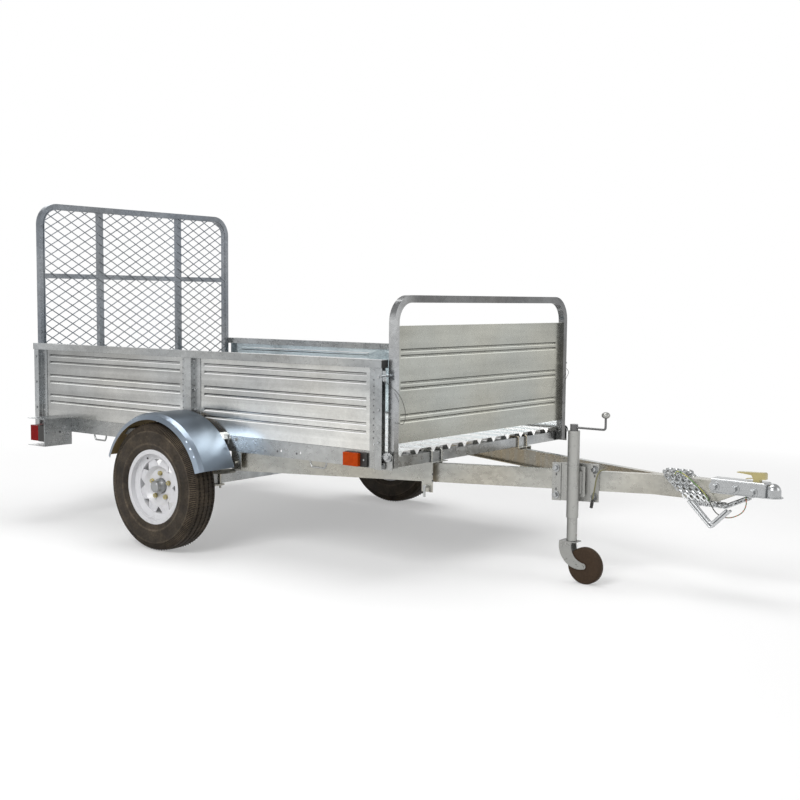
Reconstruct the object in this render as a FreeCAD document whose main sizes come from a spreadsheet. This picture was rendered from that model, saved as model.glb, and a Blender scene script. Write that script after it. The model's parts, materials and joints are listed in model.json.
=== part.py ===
import FreeCAD, Part
import math
import os
import Sketcher

"""Single-axle utility trailer with a hooped front gate and a mesh ramp gate.

Frame: X forward to the coupler, Y left, Z up, millimetres, with the floor at Z = 0 and X = 0 halfway
between the tailgate's rear face and the coupler's nose.  Lengths along the trailer are written from the
axle's centre line, and AXLE places that line in the frame.
"""

# (name, millimetres or degrees, what it is)
SIZES = [
    ("bed_width", 1414, "outside of the posts, side to side"),
    ("bed_behind", 1142, "axle to the rear face of the corner posts"),
    ("bed_ahead", 1143, "axle to the front face of the corner posts"),
    ("rail_floor", 450, "floor to the underside of the side rails"),
    ("rail_tall", 69, "side rail height"),
    ("rail_wide", 40, "side rail width"),
    ("rail_wall", 3, "side rail and crossmember wall"),
    ("rail_rear_gap", 6, "side rails' rear ends ahead of the corner posts' rear face"),
    ("rail_hole_bore", 11, "stake-pocket holes in the side rails"),
    ("rail_hole_pitch", 111, "between the two holes"),
    ("rail_hole_ahead", 630.5, "axle to the middle of the two holes"),
    ("rail_hole_up", 27, "underside of the rail to those holes"),
    ("cross_tall", 43, "crossmember height"),
    ("cross_wide", 40, "crossmember width"),
    ("cross_end_gap", 7, "front crossmember's ends short of the side rails' flanges"),
    ("cross_tab", 9, "front crossmember's end tab"),
    ("cross_rear_inset", 20, "rear crossmember ahead of the corner posts' rear face"),
    ("deck_gauge", 1.6, "deck sheet thickness"),
    ("deck_deep", 18, "depth of the deck's valleys"),
    ("deck_pitch", 115, "valley to valley"),
    ("deck_valley", 8, "flat at the bottom of a valley"),
    ("deck_slope", 15, "width of a valley's sloping side"),
    ("deck_front_gap", 8, "deck's front edge behind the front crossmember's face"),
    ("deck_side_gap", 7, "deck's edges to the side rails' flanges"),
    ("deck_rear_gap", 6, "deck's rear edge behind the rear crossmember"),
    ("fit_gap", 1, "clearance of a piece laid between two others"),
    ("marker_gap", 85, "side marker's front end behind the front posts' face"),
    ("marker_long", 115, "side marker length"),
    ("marker_tall", 58, "side marker height"),
    ("marker_base", 10, "side marker's base depth"),
    ("marker_lens", 16, "side marker's lens depth"),
    ("marker_lens_long", 79, "side marker's lens length"),
    ("marker_rim", 2, "marker base showing round its lens"),
    ("post_wide", 35, "post width along the bed"),
    ("post_deep", 23, "post depth across the bed"),
    ("post_wall", 3, "post wall"),
    ("post_flange", 42, "bolting flange beside a post"),
    ("top_rail_height", 888, "floor to the top of the top rails"),
    ("top_rail_tall", 32, "top rail height"),
    ("top_rail_wide", 40, "top rail width"),
    ("top_rail_wall", 2, "top rail wall"),
    ("top_rail_over", 7, "top rail's rear end past the rear post"),
    ("plug_head", 3, "rail plug's head"),
    ("plug_depth", 22, "rail plug's stub inside the rail"),
    ("plug_gap", 0.3, "rail plug's clearance in the rail"),
    ("panel_gauge", 1.5, "side and front panel thickness"),
    ("groove_deep", 7, "depth of a groove pressed into a panel"),
    ("groove_tall", 14, "height of a groove's mouth"),
    ("groove_slope", 5, "width of a groove's sloping side"),
    ("groove_pair", 34, "middle to middle of the two grooves of a pair on the sides"),
    ("groove_low", 159, "underside of the rail to the middle of the lowest pair on the sides"),
    ("groove_pitch", 100.5, "pair to pair on the sides"),
    ("groove_stop", 20, "groove's end to the post's flange"),
    ("panel_foot", 14, "folded lip along a side panel's lower edge"),
    ("loop_rod", 8, "tie loop rod diameter"),
    ("loop_long", 90, "tie loop length at the rail"),
    ("loop_drop", 26, "tie loop depth below the rail, to its rod's centre"),
    ("loop_lean", 9, "how far each leg of a loop leans in"),
    ("loop_bend", 10, "tie loop bend radius"),
    ("loop_fore", 783, "axle to the front loops' middle"),
    ("loop_aft", -652, "axle to the rear loops' middle"),
    ("hoop_tube", 30, "front hoop tube, square"),
    ("hoop_wall", 2, "hoop and tailgate tube wall"),
    ("hoop_corner", 110, "outer radius of the hoops' corners"),
    ("hoop_gap", 8, "front hoop's rear face ahead of the bed's front posts"),
    ("hoop_inset", 33, "front hoop's outside in from the posts' outside"),
    ("hoop_top", 1145, "floor to the top of the front hoop"),
    ("hoop_foot", 6, "underside of the rail to the hoop's feet"),
    ("hoop_pivot", 48, "underside of the rail to the hoop's hinge bolts"),
    ("front_panel_top", 1023, "floor to the front panel's top"),
    ("front_panel_foot", 550, "floor to the front panel's lower edge"),
    ("front_panel_set", 9, "front panel's sheet in front of the hoop's rear face"),
    ("front_groove_pair", 24, "middle to middle of the two grooves of a pair on the front panel"),
    ("front_groove_low", 98.5, "front panel's lower edge to the middle of its lowest pair"),
    ("front_groove_pitch", 131.5, "pair to pair on the front panel"),
    ("front_groove_stop", 34, "groove's end to the hoop"),
    ("panel_lip", 16, "folded lip along the front panel's top"),
    ("ear_gauge", 4, "hinge ear and latch tab plate"),
    ("ear_tall", 71, "hinge ear height"),
    ("ear_tail", 50, "hinge ear behind the hinge bolt"),
    ("ear_nose", 18, "hinge ear ahead of the hinge bolt"),
    ("hinge_pin", 12, "gate hinge pin diameter"),
    ("hinge_head", 11, "gate hinge bolt head radius"),
    ("hinge_head_tall", 7, "gate hinge bolt head height"),
    ("pin_reach", 28, "how far a hinge pin runs into a gate's foot"),
    ("pin_gap", 0.1, "running clearance of a hinge pin, all round"),
    ("latch_tab_long", 47, "latch tab length"),
    ("latch_tab_tall", 40, "latch tab height"),
    ("latch_tab_ahead", 8, "latch tab's front edge ahead of the hoop's rear face"),
    ("latch_drop", 50, "latch tab's underside below the top rail"),
    ("latch_pin", 10, "latch pin diameter"),
    ("latch_pin_long", 46, "latch pin length"),
    ("latch_pin_gap", 5, "drawn latch pin clear of the hoop"),
    ("gate_inset", 45, "tailgate's outside in from the posts' outside"),
    ("gate_top", 1603, "floor to the top of the tailgate"),
    ("gate_foot", 32, "underside of the rail to the tailgate's lower bar"),
    ("gate_bar", 1232, "floor to the middle of the tailgate's middle bar"),
    ("gate_bar_tall", 25, "middle bar height"),
    ("gate_bar_deep", 26, "middle bar and uprights, front to back"),
    ("gate_stile", 276, "centre line to each inner upright"),
    ("gate_stile_wide", 30, "inner upright width"),
    ("mesh_wide", 85, "mesh diamond, across"),
    ("mesh_tall", 48, "mesh diamond, up"),
    ("mesh_strand", 5, "mesh strand width"),
    ("mesh_gauge", 2, "thickness of each set of strands"),
    ("mesh_lap", 7, "mesh's edge over the face of the frame's tubes"),
    ("lug_long", 90, "tailgate hinge lug ahead of its pin"),
    ("lug_gauge", 6, "tailgate hinge lug thickness"),
    ("lug_round", 18, "tailgate hinge lug radius about its pin"),
    ("lug_pin_past", 8, "hinge pin past the lug"),
    ("axle_height", 286.5, "floor to the axle's centre line"),
    ("axle_tube", 50, "axle beam, square"),
    ("axle_wall", 5, "axle beam wall"),
    ("axle_short", 155, "axle beam's end to the middle of the tyre"),
    ("spindle_bore", 25, "spindle diameter"),
    ("spindle_past", 30, "spindle past the middle of the tyre"),
    ("wheel_out", 138, "posts' outside to the middle of each tyre"),
    ("tyre_radius", 286.5, "tyre outside radius"),
    ("tyre_width", 140, "tyre section width"),
    ("tyre_shoulder", 22, "tread edge in from the widest part of the tyre"),
    ("tyre_round", 6, "tread edge lower than the tread's middle"),
    ("tyre_bulge", 62, "tread down to the widest part of the tyre"),
    ("tyre_wall", 10, "tyre sidewall thickness"),
    ("tyre_tread", 18, "tyre tread thickness"),
    ("tyre_bead", 14, "tyre bead width"),
    ("tyre_seat_gap", 0.3, "tyre bead to rim"),
    ("rim_radius", 152.4, "rim bead seat radius"),
    ("rim_lip", 168, "rim flange radius"),
    ("rim_width", 116, "rim, flange to flange"),
    ("rim_wall", 4, "rim and wheel disc thickness"),
    ("rim_well", 26, "rim well depth"),
    ("rim_well_half", 22, "half the width of the well's floor"),
    ("rim_well_slope", 8, "width of the well's sloping side"),
    ("disc_bore", 72, "wheel disc centre hole diameter"),
    ("disc_face", 8, "wheel disc's bolting face outboard of the tyre's middle"),
    ("disc_crown", 26, "wheel disc's crown outboard of the tyre's middle"),
    ("disc_bowl", 76, "radius where the disc leaves its bolting face"),
    ("disc_ridge", 92, "radius of the disc's crown"),
    ("rim_window_count", 8, "windows in the wheel disc"),
    ("window_low", 90, "radius of a window's inner corner"),
    ("window_high", 122, "radius of a window's outer side"),
    ("window_wide", 52, "window's outer side"),
    ("hub_radius", 72, "hub flange radius"),
    ("hub_gauge", 10, "hub flange thickness"),
    ("hub_gap", 0.2, "hub flange to wheel disc"),
    ("hub_barrel", 34, "hub barrel radius"),
    ("hub_inboard", 62, "hub barrel's inner end inboard of the tyre's middle"),
    ("hub_outboard", 24, "hub barrel's outer end outboard of the tyre's middle"),
    ("stud_circle", 114.3, "wheel stud circle diameter"),
    ("stud_count", 5, "wheel studs"),
    ("stud_bore", 12, "wheel stud diameter"),
    ("stud_long", 30, "wheel stud length"),
    ("stud_gap", 0.3, "wheel stud clearance in the disc, all round"),
    ("cap_radius", 27, "dust cap radius"),
    ("cap_long", 31, "dust cap length"),
    ("fender_radius", 331, "axle to the fender's crown"),
    ("fender_width", 206, "fender width"),
    ("fender_gap", 2, "fender's inner edge out from the posts"),
    ("fender_gauge", 2, "fender thickness"),
    ("fender_start", 17, "fender's front tip above the axle, degrees"),
    ("fender_end", 159, "fender's rear tip round from the front, degrees"),
    ("fender_skirt", 30, "fender's folded outer edge, height and width"),
    ("fender_bevel", 9, "bevel of that fold"),
    ("stay_reach", 170, "fender stay, out from the side rail"),
    ("stay_gauge", 5, "fender stay plate"),
    ("stay_wide", 40, "fender stay width"),
    ("stay_tall", 42, "fender stay's foot on the side rail"),
    ("stay_angle", 41, "fender stays above the axle line, degrees"),
    ("spring_length", 620, "leaf spring, eye to eye"),
    ("spring_wide", 45, "leaf width"),
    ("spring_rise", 62, "spring's arch"),
    ("spring_short", 0.45, "lowest leaf, share of the spring's length"),
    ("spring_middle", 0.72, "middle leaf, share of the spring's length"),
    ("leaf_gauge", 7, "one leaf"),
    ("spring_inset", 92, "side rail's flange to the middle of each spring"),
    ("eye_radius", 17, "spring eye, outside"),
    ("hanger_long", 44, "spring hanger, along the bed"),
    ("hanger_gauge", 5, "spring hanger plate"),
    ("hanger_gap", 0.5, "spring to hanger cheek"),
    ("hanger_below", 22, "hanger below the spring eye's centre"),
    ("eye_pin_past", 5, "spring bolt past the hanger's cheeks"),
    ("clamp_long", 90, "axle plate length"),
    ("clamp_gauge", 8, "axle plate thickness"),
    ("clamp_over", 20, "axle plate past the spring, each side"),
    ("ubolt_rod", 10, "U-bolt rod diameter"),
    ("ubolt_below", 14, "U-bolt past the axle plate"),
    ("lamp_arm_ahead", -870, "axle to the tail lamp bracket's web"),
    ("lamp_arm_reach", 163, "tail lamp bracket, out from the side rail"),
    ("lamp_arm_tall", 136, "tail lamp bracket height"),
    ("lamp_arm_drop", 62, "tail lamp bracket's underside below the side rail"),
    ("lamp_arm_flange", 135, "length of the bracket's flanges"),
    ("lamp_arm_gauge", 2.5, "bracket sheet"),
    ("lamp_tall", 80, "tail lamp height"),
    ("lamp_wide", 110, "tail lamp width"),
    ("lamp_base", 52, "tail lamp housing depth"),
    ("lamp_lens", 62, "tail lamp lens depth"),
    ("lamp_up", 23, "tail lamp above its bracket's floor"),
    ("lamp_edge", 2, "tail lamp in from its bracket's end, and lens in from its housing"),
    ("beam_tall", 80, "drawbar channel height"),
    ("beam_wide", 30, "drawbar channel flange"),
    ("beam_wall", 4, "drawbar channel wall"),
    ("beam_top", 442, "floor to the top of the drawbar"),
    ("beam_inset", 23.5, "drawbar in from the side rail's face at the tilt pivot"),
    ("beam_bend", 1990, "axle to where the drawbar's two sides come together"),
    ("beam_end", 2335, "axle to the drawbar's front end"),
    ("beam_seam", 1, "gap between the two sides at the nose"),
    ("pivot_ahead", 305, "axle to the bed's tilt pivots"),
    ("pivot_tail", 24, "drawbar end behind its pivot"),
    ("pivot_bolt", 12, "tilt pivot bolt diameter"),
    ("pivot_plate", 5, "tilt pivot bracket plate"),
    ("pivot_long", 60, "tilt pivot bracket, along the bed"),
    ("pivot_out", 2, "tilt pivot bracket out from the side rail's face"),
    ("pivot_span", 81, "tilt pivot bracket, across the bed"),
    ("pivot_below", 28, "tilt pivot bracket below its bolt"),
    ("pivot_bolt_past", 10, "tilt pivot bolt past its bracket"),
    ("saddle_long", 56, "saddle, along the bed"),
    ("saddle_behind", 34, "saddle's rear edge behind the front crossmember's face"),
    ("saddle_out", 26, "saddle's cheek out from the drawbar"),
    ("saddle_in", 78, "saddle's lid in from the drawbar's face"),
    ("saddle_gauge", 5, "saddle plate"),
    ("saddle_lid", 3, "saddle's lid thickness"),
    ("saddle_low", 38, "saddle's cheek below the drawbar"),
    ("saddle_bolt_out", 14, "outer U-bolt out from the drawbar's face"),
    ("saddle_bolt_in", 56, "inner U-bolt in from the drawbar's face"),
    ("saddle_rod", 8, "saddle U-bolt rod diameter"),
    ("saddle_rod_past", 8, "U-bolt past the saddle's lid"),
    ("pull_pin", 14, "tilt lock pin diameter"),
    ("pull_pin_ahead", 30, "tilt lock pin ahead of the saddle's rear edge"),
    ("pull_pin_drop", 12, "tilt lock pin below the drawbar"),
    ("pull_pin_start", 6, "drawn pin's inner end out from the drawbar's face"),
    ("pull_pin_long", 48, "tilt lock pin length"),
    ("pull_lever", 44, "tilt lock pin's lever"),
    ("beam_nose", 73, "drawbar's tapered end under the coupler"),
    ("coupler_tail", 233, "coupler's rear edge to the centre of its ball socket"),
    ("coupler_ball", 2468, "axle to the centre of the ball socket"),
    ("coupler_floor", 396, "floor to the coupler's lip"),
    ("coupler_top", 452, "floor to the coupler's top"),
    ("coupler_round", 8, "coupler's rounded edges, outside radius"),
    ("coupler_gauge", 3.5, "coupler plate"),
    ("coupler_gap", 0.5, "coupler's cheeks to the drawbar"),
    ("coupler_flare", 6, "coupler's edge flange"),
    ("coupler_neck", 18, "front of the coupler's channel behind the ball's centre"),
    ("dome_drop", 2, "coupler's dome below its channel's top"),
    ("socket_radius", 25.8, "ball socket inside radius"),
    ("coupler_lip", 8, "coupler's flared lip round the ball"),
    ("latch_long", 112, "coupler lever length"),
    ("latch_wide", 26, "coupler lever width"),
    ("latch_behind", 28, "coupler lever's nose behind the ball's centre"),
    ("latch_up", 10, "coupler lever above the coupler"),
    ("latch_tall", 26, "coupler lever height at its nose"),
    ("latch_block", 47, "coupler lever's deep end, nose to heel"),
    ("trigger_long", 30, "release tab behind the lever's deep end"),
    ("trigger_fall", 4, "release tab's tip below its root"),
    ("latch_gauge", 2.5, "coupler lever plate"),
    ("link_long", 32, "chain link, outside length"),
    ("link_wide", 20, "chain link, outside width"),
    ("link_wire", 5.5, "chain link wire"),
    ("link_point", 7, "chain link's pointed ends, to where its sides run straight"),
    ("chain_turns", 4, "turns of chain round the drawbar"),
    ("chain_lead", 26, "turn to turn along the drawbar"),
    ("chain_ahead", 2104, "axle to the middle of the rearmost turn"),
    ("chain_slant", 1.15, "how far a turn leans forward for its drop"),
    ("chain_run", 15, "centre line to each chain's run under the coupler"),
    ("chain_clear", 7, "chain to drawbar"),
    ("hook_rod", 10, "hook rod diameter"),
    ("hook_ahead", 2160, "axle to the hook rods' rear end"),
    ("hook_rear_drop", 95, "hook rods' rear leg, down and forward"),
    ("hook_front_rise", 75, "hook rods' front leg, up and forward"),
    ("hook_side", 62.5, "centre line to the hook rods, on the right"),
    ("hook_top", 360, "floor to the hook rods' rear end"),
    ("jack_ahead", 1728, "axle to the jack's tube"),
    ("jack_out", 78.5, "jack's tube out from the drawbar's face, square to the trailer"),
    ("jack_tube_bore", 48, "jack outer tube diameter"),
    ("jack_tube_low", 262, "floor to the outer tube's lower end"),
    ("jack_tube_top", 612, "floor to the outer tube's top"),
    ("jack_tube_wall", 2.5, "jack tube walls"),
    ("jack_ram_bore", 42, "jack inner tube diameter"),
    ("jack_ram_low", 168, "floor to the inner tube's lower end"),
    ("jack_ram_long", 240, "jack inner tube length"),
    ("jack_pivot", 402, "floor to the jack's swing pivot"),
    ("jack_cap", 16, "jack cap radius"),
    ("jack_cap_tall", 26, "jack cap height"),
    ("swivel_wide", 62, "jack swivel plate width"),
    ("swivel_tall", 90, "jack swivel plate height"),
    ("swivel_reach", 10, "jack swivel plate out from the tube"),
    ("swivel_sink", 8, "jack swivel plate's root into the tube's side"),
    ("swivel_pin", 28, "jack swivel pin diameter"),
    ("mount_gap", 0.5, "jack swivel plate to its bracket"),
    ("mount_wide", 86, "jack bracket's face plate width"),
    ("mount_tall", 124, "jack bracket's face plate height"),
    ("mount_plate", 5.5, "jack bracket plates"),
    ("mount_rib_side", 30, "jack bracket's ribs from its middle"),
    ("clamp_plate_long", 190, "jack bracket's back plate, along the drawbar"),
    ("clamp_plate_tall", 156, "jack bracket's back plate height"),
    ("clamp_plate_drop", 7, "back plate's middle below the jack's pivot"),
    ("clamp_strap", 36, "raised strap at each end of the back plate"),
    ("clamp_strap_deep", 6, "strap's face out from the back plate"),
    ("crank_rod", 9, "crank rod diameter"),
    ("crank_reach", 140, "crank arm"),
    ("crank_rise", 60, "crank handle"),
    ("crank_knob", 10, "crank knob radius"),
    ("caster_trail", 65, "jack wheel behind its swivel"),
    ("caster_radius", 74, "jack wheel radius"),
    ("caster_width", 36, "jack wheel width"),
    ("caster_gap", 2, "jack wheel to fork"),
    ("caster_round", 8, "jack wheel's rounded edge"),
    ("fork_gauge", 4, "caster fork plate"),
    ("fork_behind", 44, "caster fork's crown behind the swivel"),
    ("fork_ahead", 30, "caster fork's crown ahead of the swivel"),
    ("fork_root", 12, "caster fork's cheeks at the crown, ahead of the swivel"),
    ("fork_hip", 19, "middle of the cheeks' rear edge, behind the swivel"),
    ("fork_hip_up", 12, "middle of the cheeks' rear edge above the caster's axle"),
    ("fork_waist", 24, "middle of the cheeks' front edge, ahead of the swivel"),
    ("fork_waist_up", 36, "middle of the cheeks' front edge above the caster's axle"),
    ("fork_toe", 12, "radius of the cheeks' ends round the axle"),
    ("fork_pin", 10, "caster axle diameter"),
    ("lead_bore", 6, "wiring lead diameter"),
    ("lead_ahead", 1806, "axle to where the lead leaves the drawbar"),
    ("lead_in", 11.295, "lead's start in from the drawbar's face"),
    ("lead_up", 6, "lead's start above the drawbar"),
    ("plug_bore", 14, "lead connector diameter"),
    ("plug_long", 36, "lead connector length"),
]


class Size(float):
    """A number that carries the spreadsheet expression it was worked out from."""

    def __new__(cls, value, text=None):
        size = super().__new__(cls, value)
        size.text = f"({float(value)!r})" if text is None else text
        return size

    def joined(self, sign, other, value, swapped=False):
        mine, theirs = self.text, Size(other).text if not isinstance(other, Size) else other.text
        left, right = (theirs, mine) if swapped else (mine, theirs)
        return Size(value, f"({left} {sign} {right})")

    def __add__(self, other):
        return self.joined("+", other, float(self) + float(other))

    def __radd__(self, other):
        return self.joined("+", other, float(self) + float(other), True)

    def __sub__(self, other):
        return self.joined("-", other, float(self) - float(other))

    def __rsub__(self, other):
        return self.joined("-", other, float(other) - float(self), True)

    def __mul__(self, other):
        return self.joined("*", other, float(self) * float(other))

    def __rmul__(self, other):
        return self.joined("*", other, float(self) * float(other), True)

    def __truediv__(self, other):
        return self.joined("/", other, float(self) / float(other))

    def __neg__(self):
        return Size(-float(self), f"(0 - {self.text})")


doc = FreeCAD.newDocument("utility_trailer")
sheet = doc.addObject("Spreadsheet::Sheet", "Sizes")
for row, (alias, number, meaning) in enumerate(SIZES, start=1):
    sheet.set(f"A{row}", alias)
    sheet.set(f"B{row}", str(number))
    sheet.set(f"C{row}", meaning)
    sheet.setAlias(f"B{row}", alias)
doc.recompute()
S = {alias: Size(number, f"Sizes.{alias}") for alias, number, _ in SIZES}

N = {alias: float(number) for alias, number, _ in SIZES}

GATE_BACK = S["bed_behind"] + S["hoop_tube"]
COUPLER_NOSE = S["coupler_ball"] + S["socket_radius"] + S["coupler_gauge"] + S["coupler_lip"]
AXLE = (GATE_BACK - COUPLER_NOSE) / 2

RAIL_FACE = S["bed_width"] / 2 - S["post_deep"]
RAIL_INSIDE = RAIL_FACE - S["rail_wide"]
CROSS_TOP = S["rail_floor"] + S["cross_tall"]
TOP_RAIL_LOW = S["top_rail_height"] - S["top_rail_tall"]
HOOP_WIDTH = S["bed_width"] - S["hoop_inset"] * 2
HOOP_AHEAD = S["bed_ahead"] + S["hoop_gap"] + S["hoop_tube"] / 2
HOOP_PIVOT = S["rail_floor"] + S["hoop_pivot"]
GATE_WIDTH = S["bed_width"] - S["gate_inset"] * 2
GATE_AHEAD = -S["bed_behind"] - S["hoop_tube"] / 2
GATE_LOW = S["rail_floor"] + S["gate_foot"]
GATE_PIVOT = GATE_LOW + S["hoop_tube"] / 2
TRACK_HALF = S["bed_width"] / 2 + S["wheel_out"]
AXLE_HALF = TRACK_HALF - S["axle_short"]
SPRING_SIDE = RAIL_INSIDE - S["spring_inset"]
CROSS_REAR = S["bed_behind"] - S["cross_rear_inset"]
BEAM_MIDDLE = S["beam_top"] - S["beam_tall"] / 2
SNAP = 0.01
BEAM_HALF = S["beam_wide"] + S["beam_seam"] / 2
BEAM_SPLAY = math.atan2(float(RAIL_FACE - S["beam_inset"] - BEAM_HALF),
                        float(S["beam_bend"] - S["pivot_ahead"]))
nodes = []


# ------------------------------------------------------------------ helpers

def bind(thing, settings):
    """Ties each named property to its expression, or just sets it where it is a plain value."""
    for name, value in settings.items():
        if isinstance(value, Size):
            thing.setExpression(name, value.text)
        else:
            setattr(thing, name, value)
    return thing


def put(thing, ahead, left, up, rotation=None):
    """Places an object by distances from the axle line, the centre line and the floor."""
    if rotation is not None:
        thing.Placement.Rotation = rotation
    bind_place = {"Placement.Base.x": Size(0) + AXLE + ahead, "Placement.Base.y": Size(0) + left,
                  "Placement.Base.z": Size(0) + up}
    for name, value in bind_place.items():
        thing.setExpression(name, value.text)
    return thing


def turn(axis, degrees):
    return FreeCAD.Rotation(FreeCAD.Vector(*axis), float(degrees))


def block(name, along, across, tall, ahead, left, up):
    """A plain bar from its rear, right, lower corner."""
    box = doc.addObject("Part::Box", name)
    bind(box, {"Length": Size(0) + along, "Width": Size(0) + across, "Height": Size(0) + tall})
    return put(box, ahead, left, up)


def rod(name, radius, length, ahead, left, up, axis="z"):
    """A round bar from one end's centre, along +X, +Y or +Z."""
    bar = doc.addObject("Part::Cylinder", name)
    bind(bar, {"Radius": Size(0) + radius, "Height": Size(0) + length})
    rotation = {"x": turn((0, 1, 0), 90), "y": turn((1, 0, 0), -90), "z": None}[axis]
    return put(bar, ahead, left, up, rotation)


def fused(name, pieces):
    joint = doc.addObject("Part::MultiFuse", name)
    joint.Shapes = pieces
    return joint


def cut(name, base, tool):
    result = doc.addObject("Part::Cut", name)
    result.Base = base
    result.Tool = tool
    return result


def mirrored(name, source):
    """The same piece on the other side of the centre line."""
    copy = doc.addObject("Part::Mirroring", name)
    copy.Source = source
    copy.Base = FreeCAD.Vector(0, 0, 0)
    copy.Normal = FreeCAD.Vector(0, 1, 0)
    return copy


def node(label, pieces):
    """Names a sub-part: one object, or several like pieces that don't touch."""
    if isinstance(pieces, list):
        group = doc.addObject("Part::Compound", label + "_set")
        group.Links = pieces
        pieces = group
    pieces.Label = label
    nodes.append(pieces)
    return pieces


def both_sides(label, pieces):
    return node(label, pieces + [mirrored(piece.Name + "_other", piece) for piece in pieces])


def shape_node(label, shape):
    """A sub-part made with Part's own functions, in the trailer's frame."""
    feature = doc.addObject("Part::Feature", label)
    feature.Shape = shape
    feature.Placement = FreeCAD.Placement()
    return node(label, feature)


def body(name):
    return doc.addObject("PartDesign::Body", name)


def sketch_in(owner, name, role):
    sketch = owner.newObject("Sketcher::SketchObject", name)
    plane = [feature for feature in owner.Origin.OriginFeatures if feature.Role == role][0]
    sketch.AttachmentSupport = (plane, [""])
    sketch.MapMode = "FlatFace"
    return sketch


def outline(sketch, points):
    """A closed outline whose corners are held at the given pairs of sizes."""
    count = len(points)
    first = sketch.GeometryCount
    corners = [FreeCAD.Vector(float(across), float(up), 0) for across, up in points]
    for index in range(count):
        sketch.addGeometry(Part.LineSegment(corners[index], corners[(index + 1) % count]), False)
    for index in range(count):
        edge, after = first + index, first + (index + 1) % count
        sketch.addConstraint(Sketcher.Constraint("Coincident", edge, 2, after, 1))
    for index, (across, up) in enumerate(points):
        for kind, value in (("DistanceX", across), ("DistanceY", up)):
            number = sketch.addConstraint(
                Sketcher.Constraint(kind, -1, 1, first + index, 1, float(value)))
            if isinstance(value, Size):
                sketch.setExpression(f"Constraints[{number}]", value.text)


def drilled(sketch, across, up, bore):
    """A round hole held at its place and bore."""
    place = FreeCAD.Vector(float(across), float(up), 0)
    circle = sketch.addGeometry(Part.Circle(place, FreeCAD.Vector(0, 0, 1), float(bore) / 2), False)
    for constraint, value in ((Sketcher.Constraint("Diameter", circle, float(bore)), bore),
                              (Sketcher.Constraint("DistanceX", -1, 1, circle, 3, float(across)), across),
                              (Sketcher.Constraint("DistanceY", -1, 1, circle, 3, float(up)), up)):
        number = sketch.addConstraint(constraint)
        sketch.setExpression(f"Constraints[{number}]", value.text)


def free_outline(sketch, points):
    """A long closed outline, its corners worked out by a loop and fixed where they are."""
    corners = [FreeCAD.Vector(float(across), float(up), 0) for across, up in points]
    for index, corner in enumerate(corners):
        line = Part.LineSegment(corner, corners[(index + 1) % len(corners)])
        sketch.addGeometry(line, False)
    for index in range(len(corners)):
        after = (index + 1) % len(corners)
        sketch.addConstraint(Sketcher.Constraint("Coincident", index, 2, after, 1))
    for index in range(len(corners)):
        sketch.addConstraint(Sketcher.Constraint("Block", index))


def pad(owner, sketch, length, symmetric=False):
    feature = owner.newObject("PartDesign::Pad", sketch.Name + "_pad")
    feature.Profile = sketch
    feature.SideType = "Symmetric" if symmetric else "One side"
    feature.setExpression("Length", (Size(0) + length).text)
    return feature


def pocket(owner, sketch, length, symmetric=True):
    feature = owner.newObject("PartDesign::Pocket", sketch.Name + "_pocket")
    feature.Profile = sketch
    feature.SideType = "Symmetric" if symmetric else "One side"
    feature.setExpression("Length", (Size(0) + length).text)
    return feature


def tube(name, wide, tall, wall, length, role):
    """A square or oblong tube, its section centred on its length."""
    owner = body(name)
    sketch = sketch_in(owner, name + "_section", role)
    for across, up in ((wide / 2, tall / 2), (wide / 2 - wall, tall / 2 - wall)):
        outline(sketch, [(-across, -up), (across, -up), (across, up), (-across, up)])
    pad(owner, sketch, length)
    return owner


def channel(name, wide, tall, wall, length, role, open_to=1):
    """A folded channel, its back on the origin and its flanges reaching towards open_to."""
    owner = body(name)
    sketch = sketch_in(owner, name + "_section", role)
    reach, back, half, inner = wide * open_to, wall * open_to, tall / 2, tall / 2 - wall
    outline(sketch, [(Size(0), -half), (reach, -half), (reach, -inner), (back, -inner),
                     (back, inner), (reach, inner), (reach, half), (Size(0), half)])
    pad(owner, sketch, length)
    return owner


def bent_tube(points, radius, wide, tall, wall):
    """A square tube along a route with rounded corners, as a solid made with Part's sweep."""
    route = rounded_route(points, radius)
    start = points[0]
    along = (points[1] - points[0]).normalize()
    side = along.cross(FreeCAD.Vector(1, 0, 0)).normalize()
    shells = []
    for half_wide, half_tall in ((wide / 2, tall / 2), (wide / 2 - wall, tall / 2 - wall)):
        corners = [start + side * (half_wide * a) + FreeCAD.Vector(1, 0, 0) * (half_tall * b)
                   for a, b in ((-1, -1), (1, -1), (1, 1), (-1, 1), (-1, -1))]
        section = Part.makePolygon(corners)
        shells.append(route.makePipeShell([section], True, False))
    return shells[0].cut(shells[1])


def rounded_route(points, radius):
    """Straight runs through the points, joined by arcs that touch both runs."""
    edges = []
    last = points[0]
    for before, corner, after in zip(points, points[1:], points[2:]):
        into = (corner - before).normalize()
        out = (after - corner).normalize()
        half = into.getAngle(out) / 2
        reach = radius * math.tan(half)
        start, end = corner - into * reach, corner + out * reach
        middle = corner + (out - into).normalize() * (radius / math.cos(half) - radius)
        edges += [Part.LineSegment(last, start).toShape(), Part.Arc(start, middle, end).toShape()]
        last = end
    edges.append(Part.LineSegment(last, points[-1]).toShape())
    return Part.Wire(edges)


def bent_rod(points, radius, bend):
    """A round rod along straight runs with a bend at each corner."""
    route = rounded_route(points, bend)
    section = Part.Wire(Part.makeCircle(radius, points[0], points[1] - points[0]))
    return route.makePipeShell([section], True, False)


def at(ahead, left, up):
    """A point by distances from the axle line, the centre line and the floor."""
    return FreeCAD.Vector(float(AXLE + ahead), float(left), float(up))


# ------------------------------------------------------------------ bed frame

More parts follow.
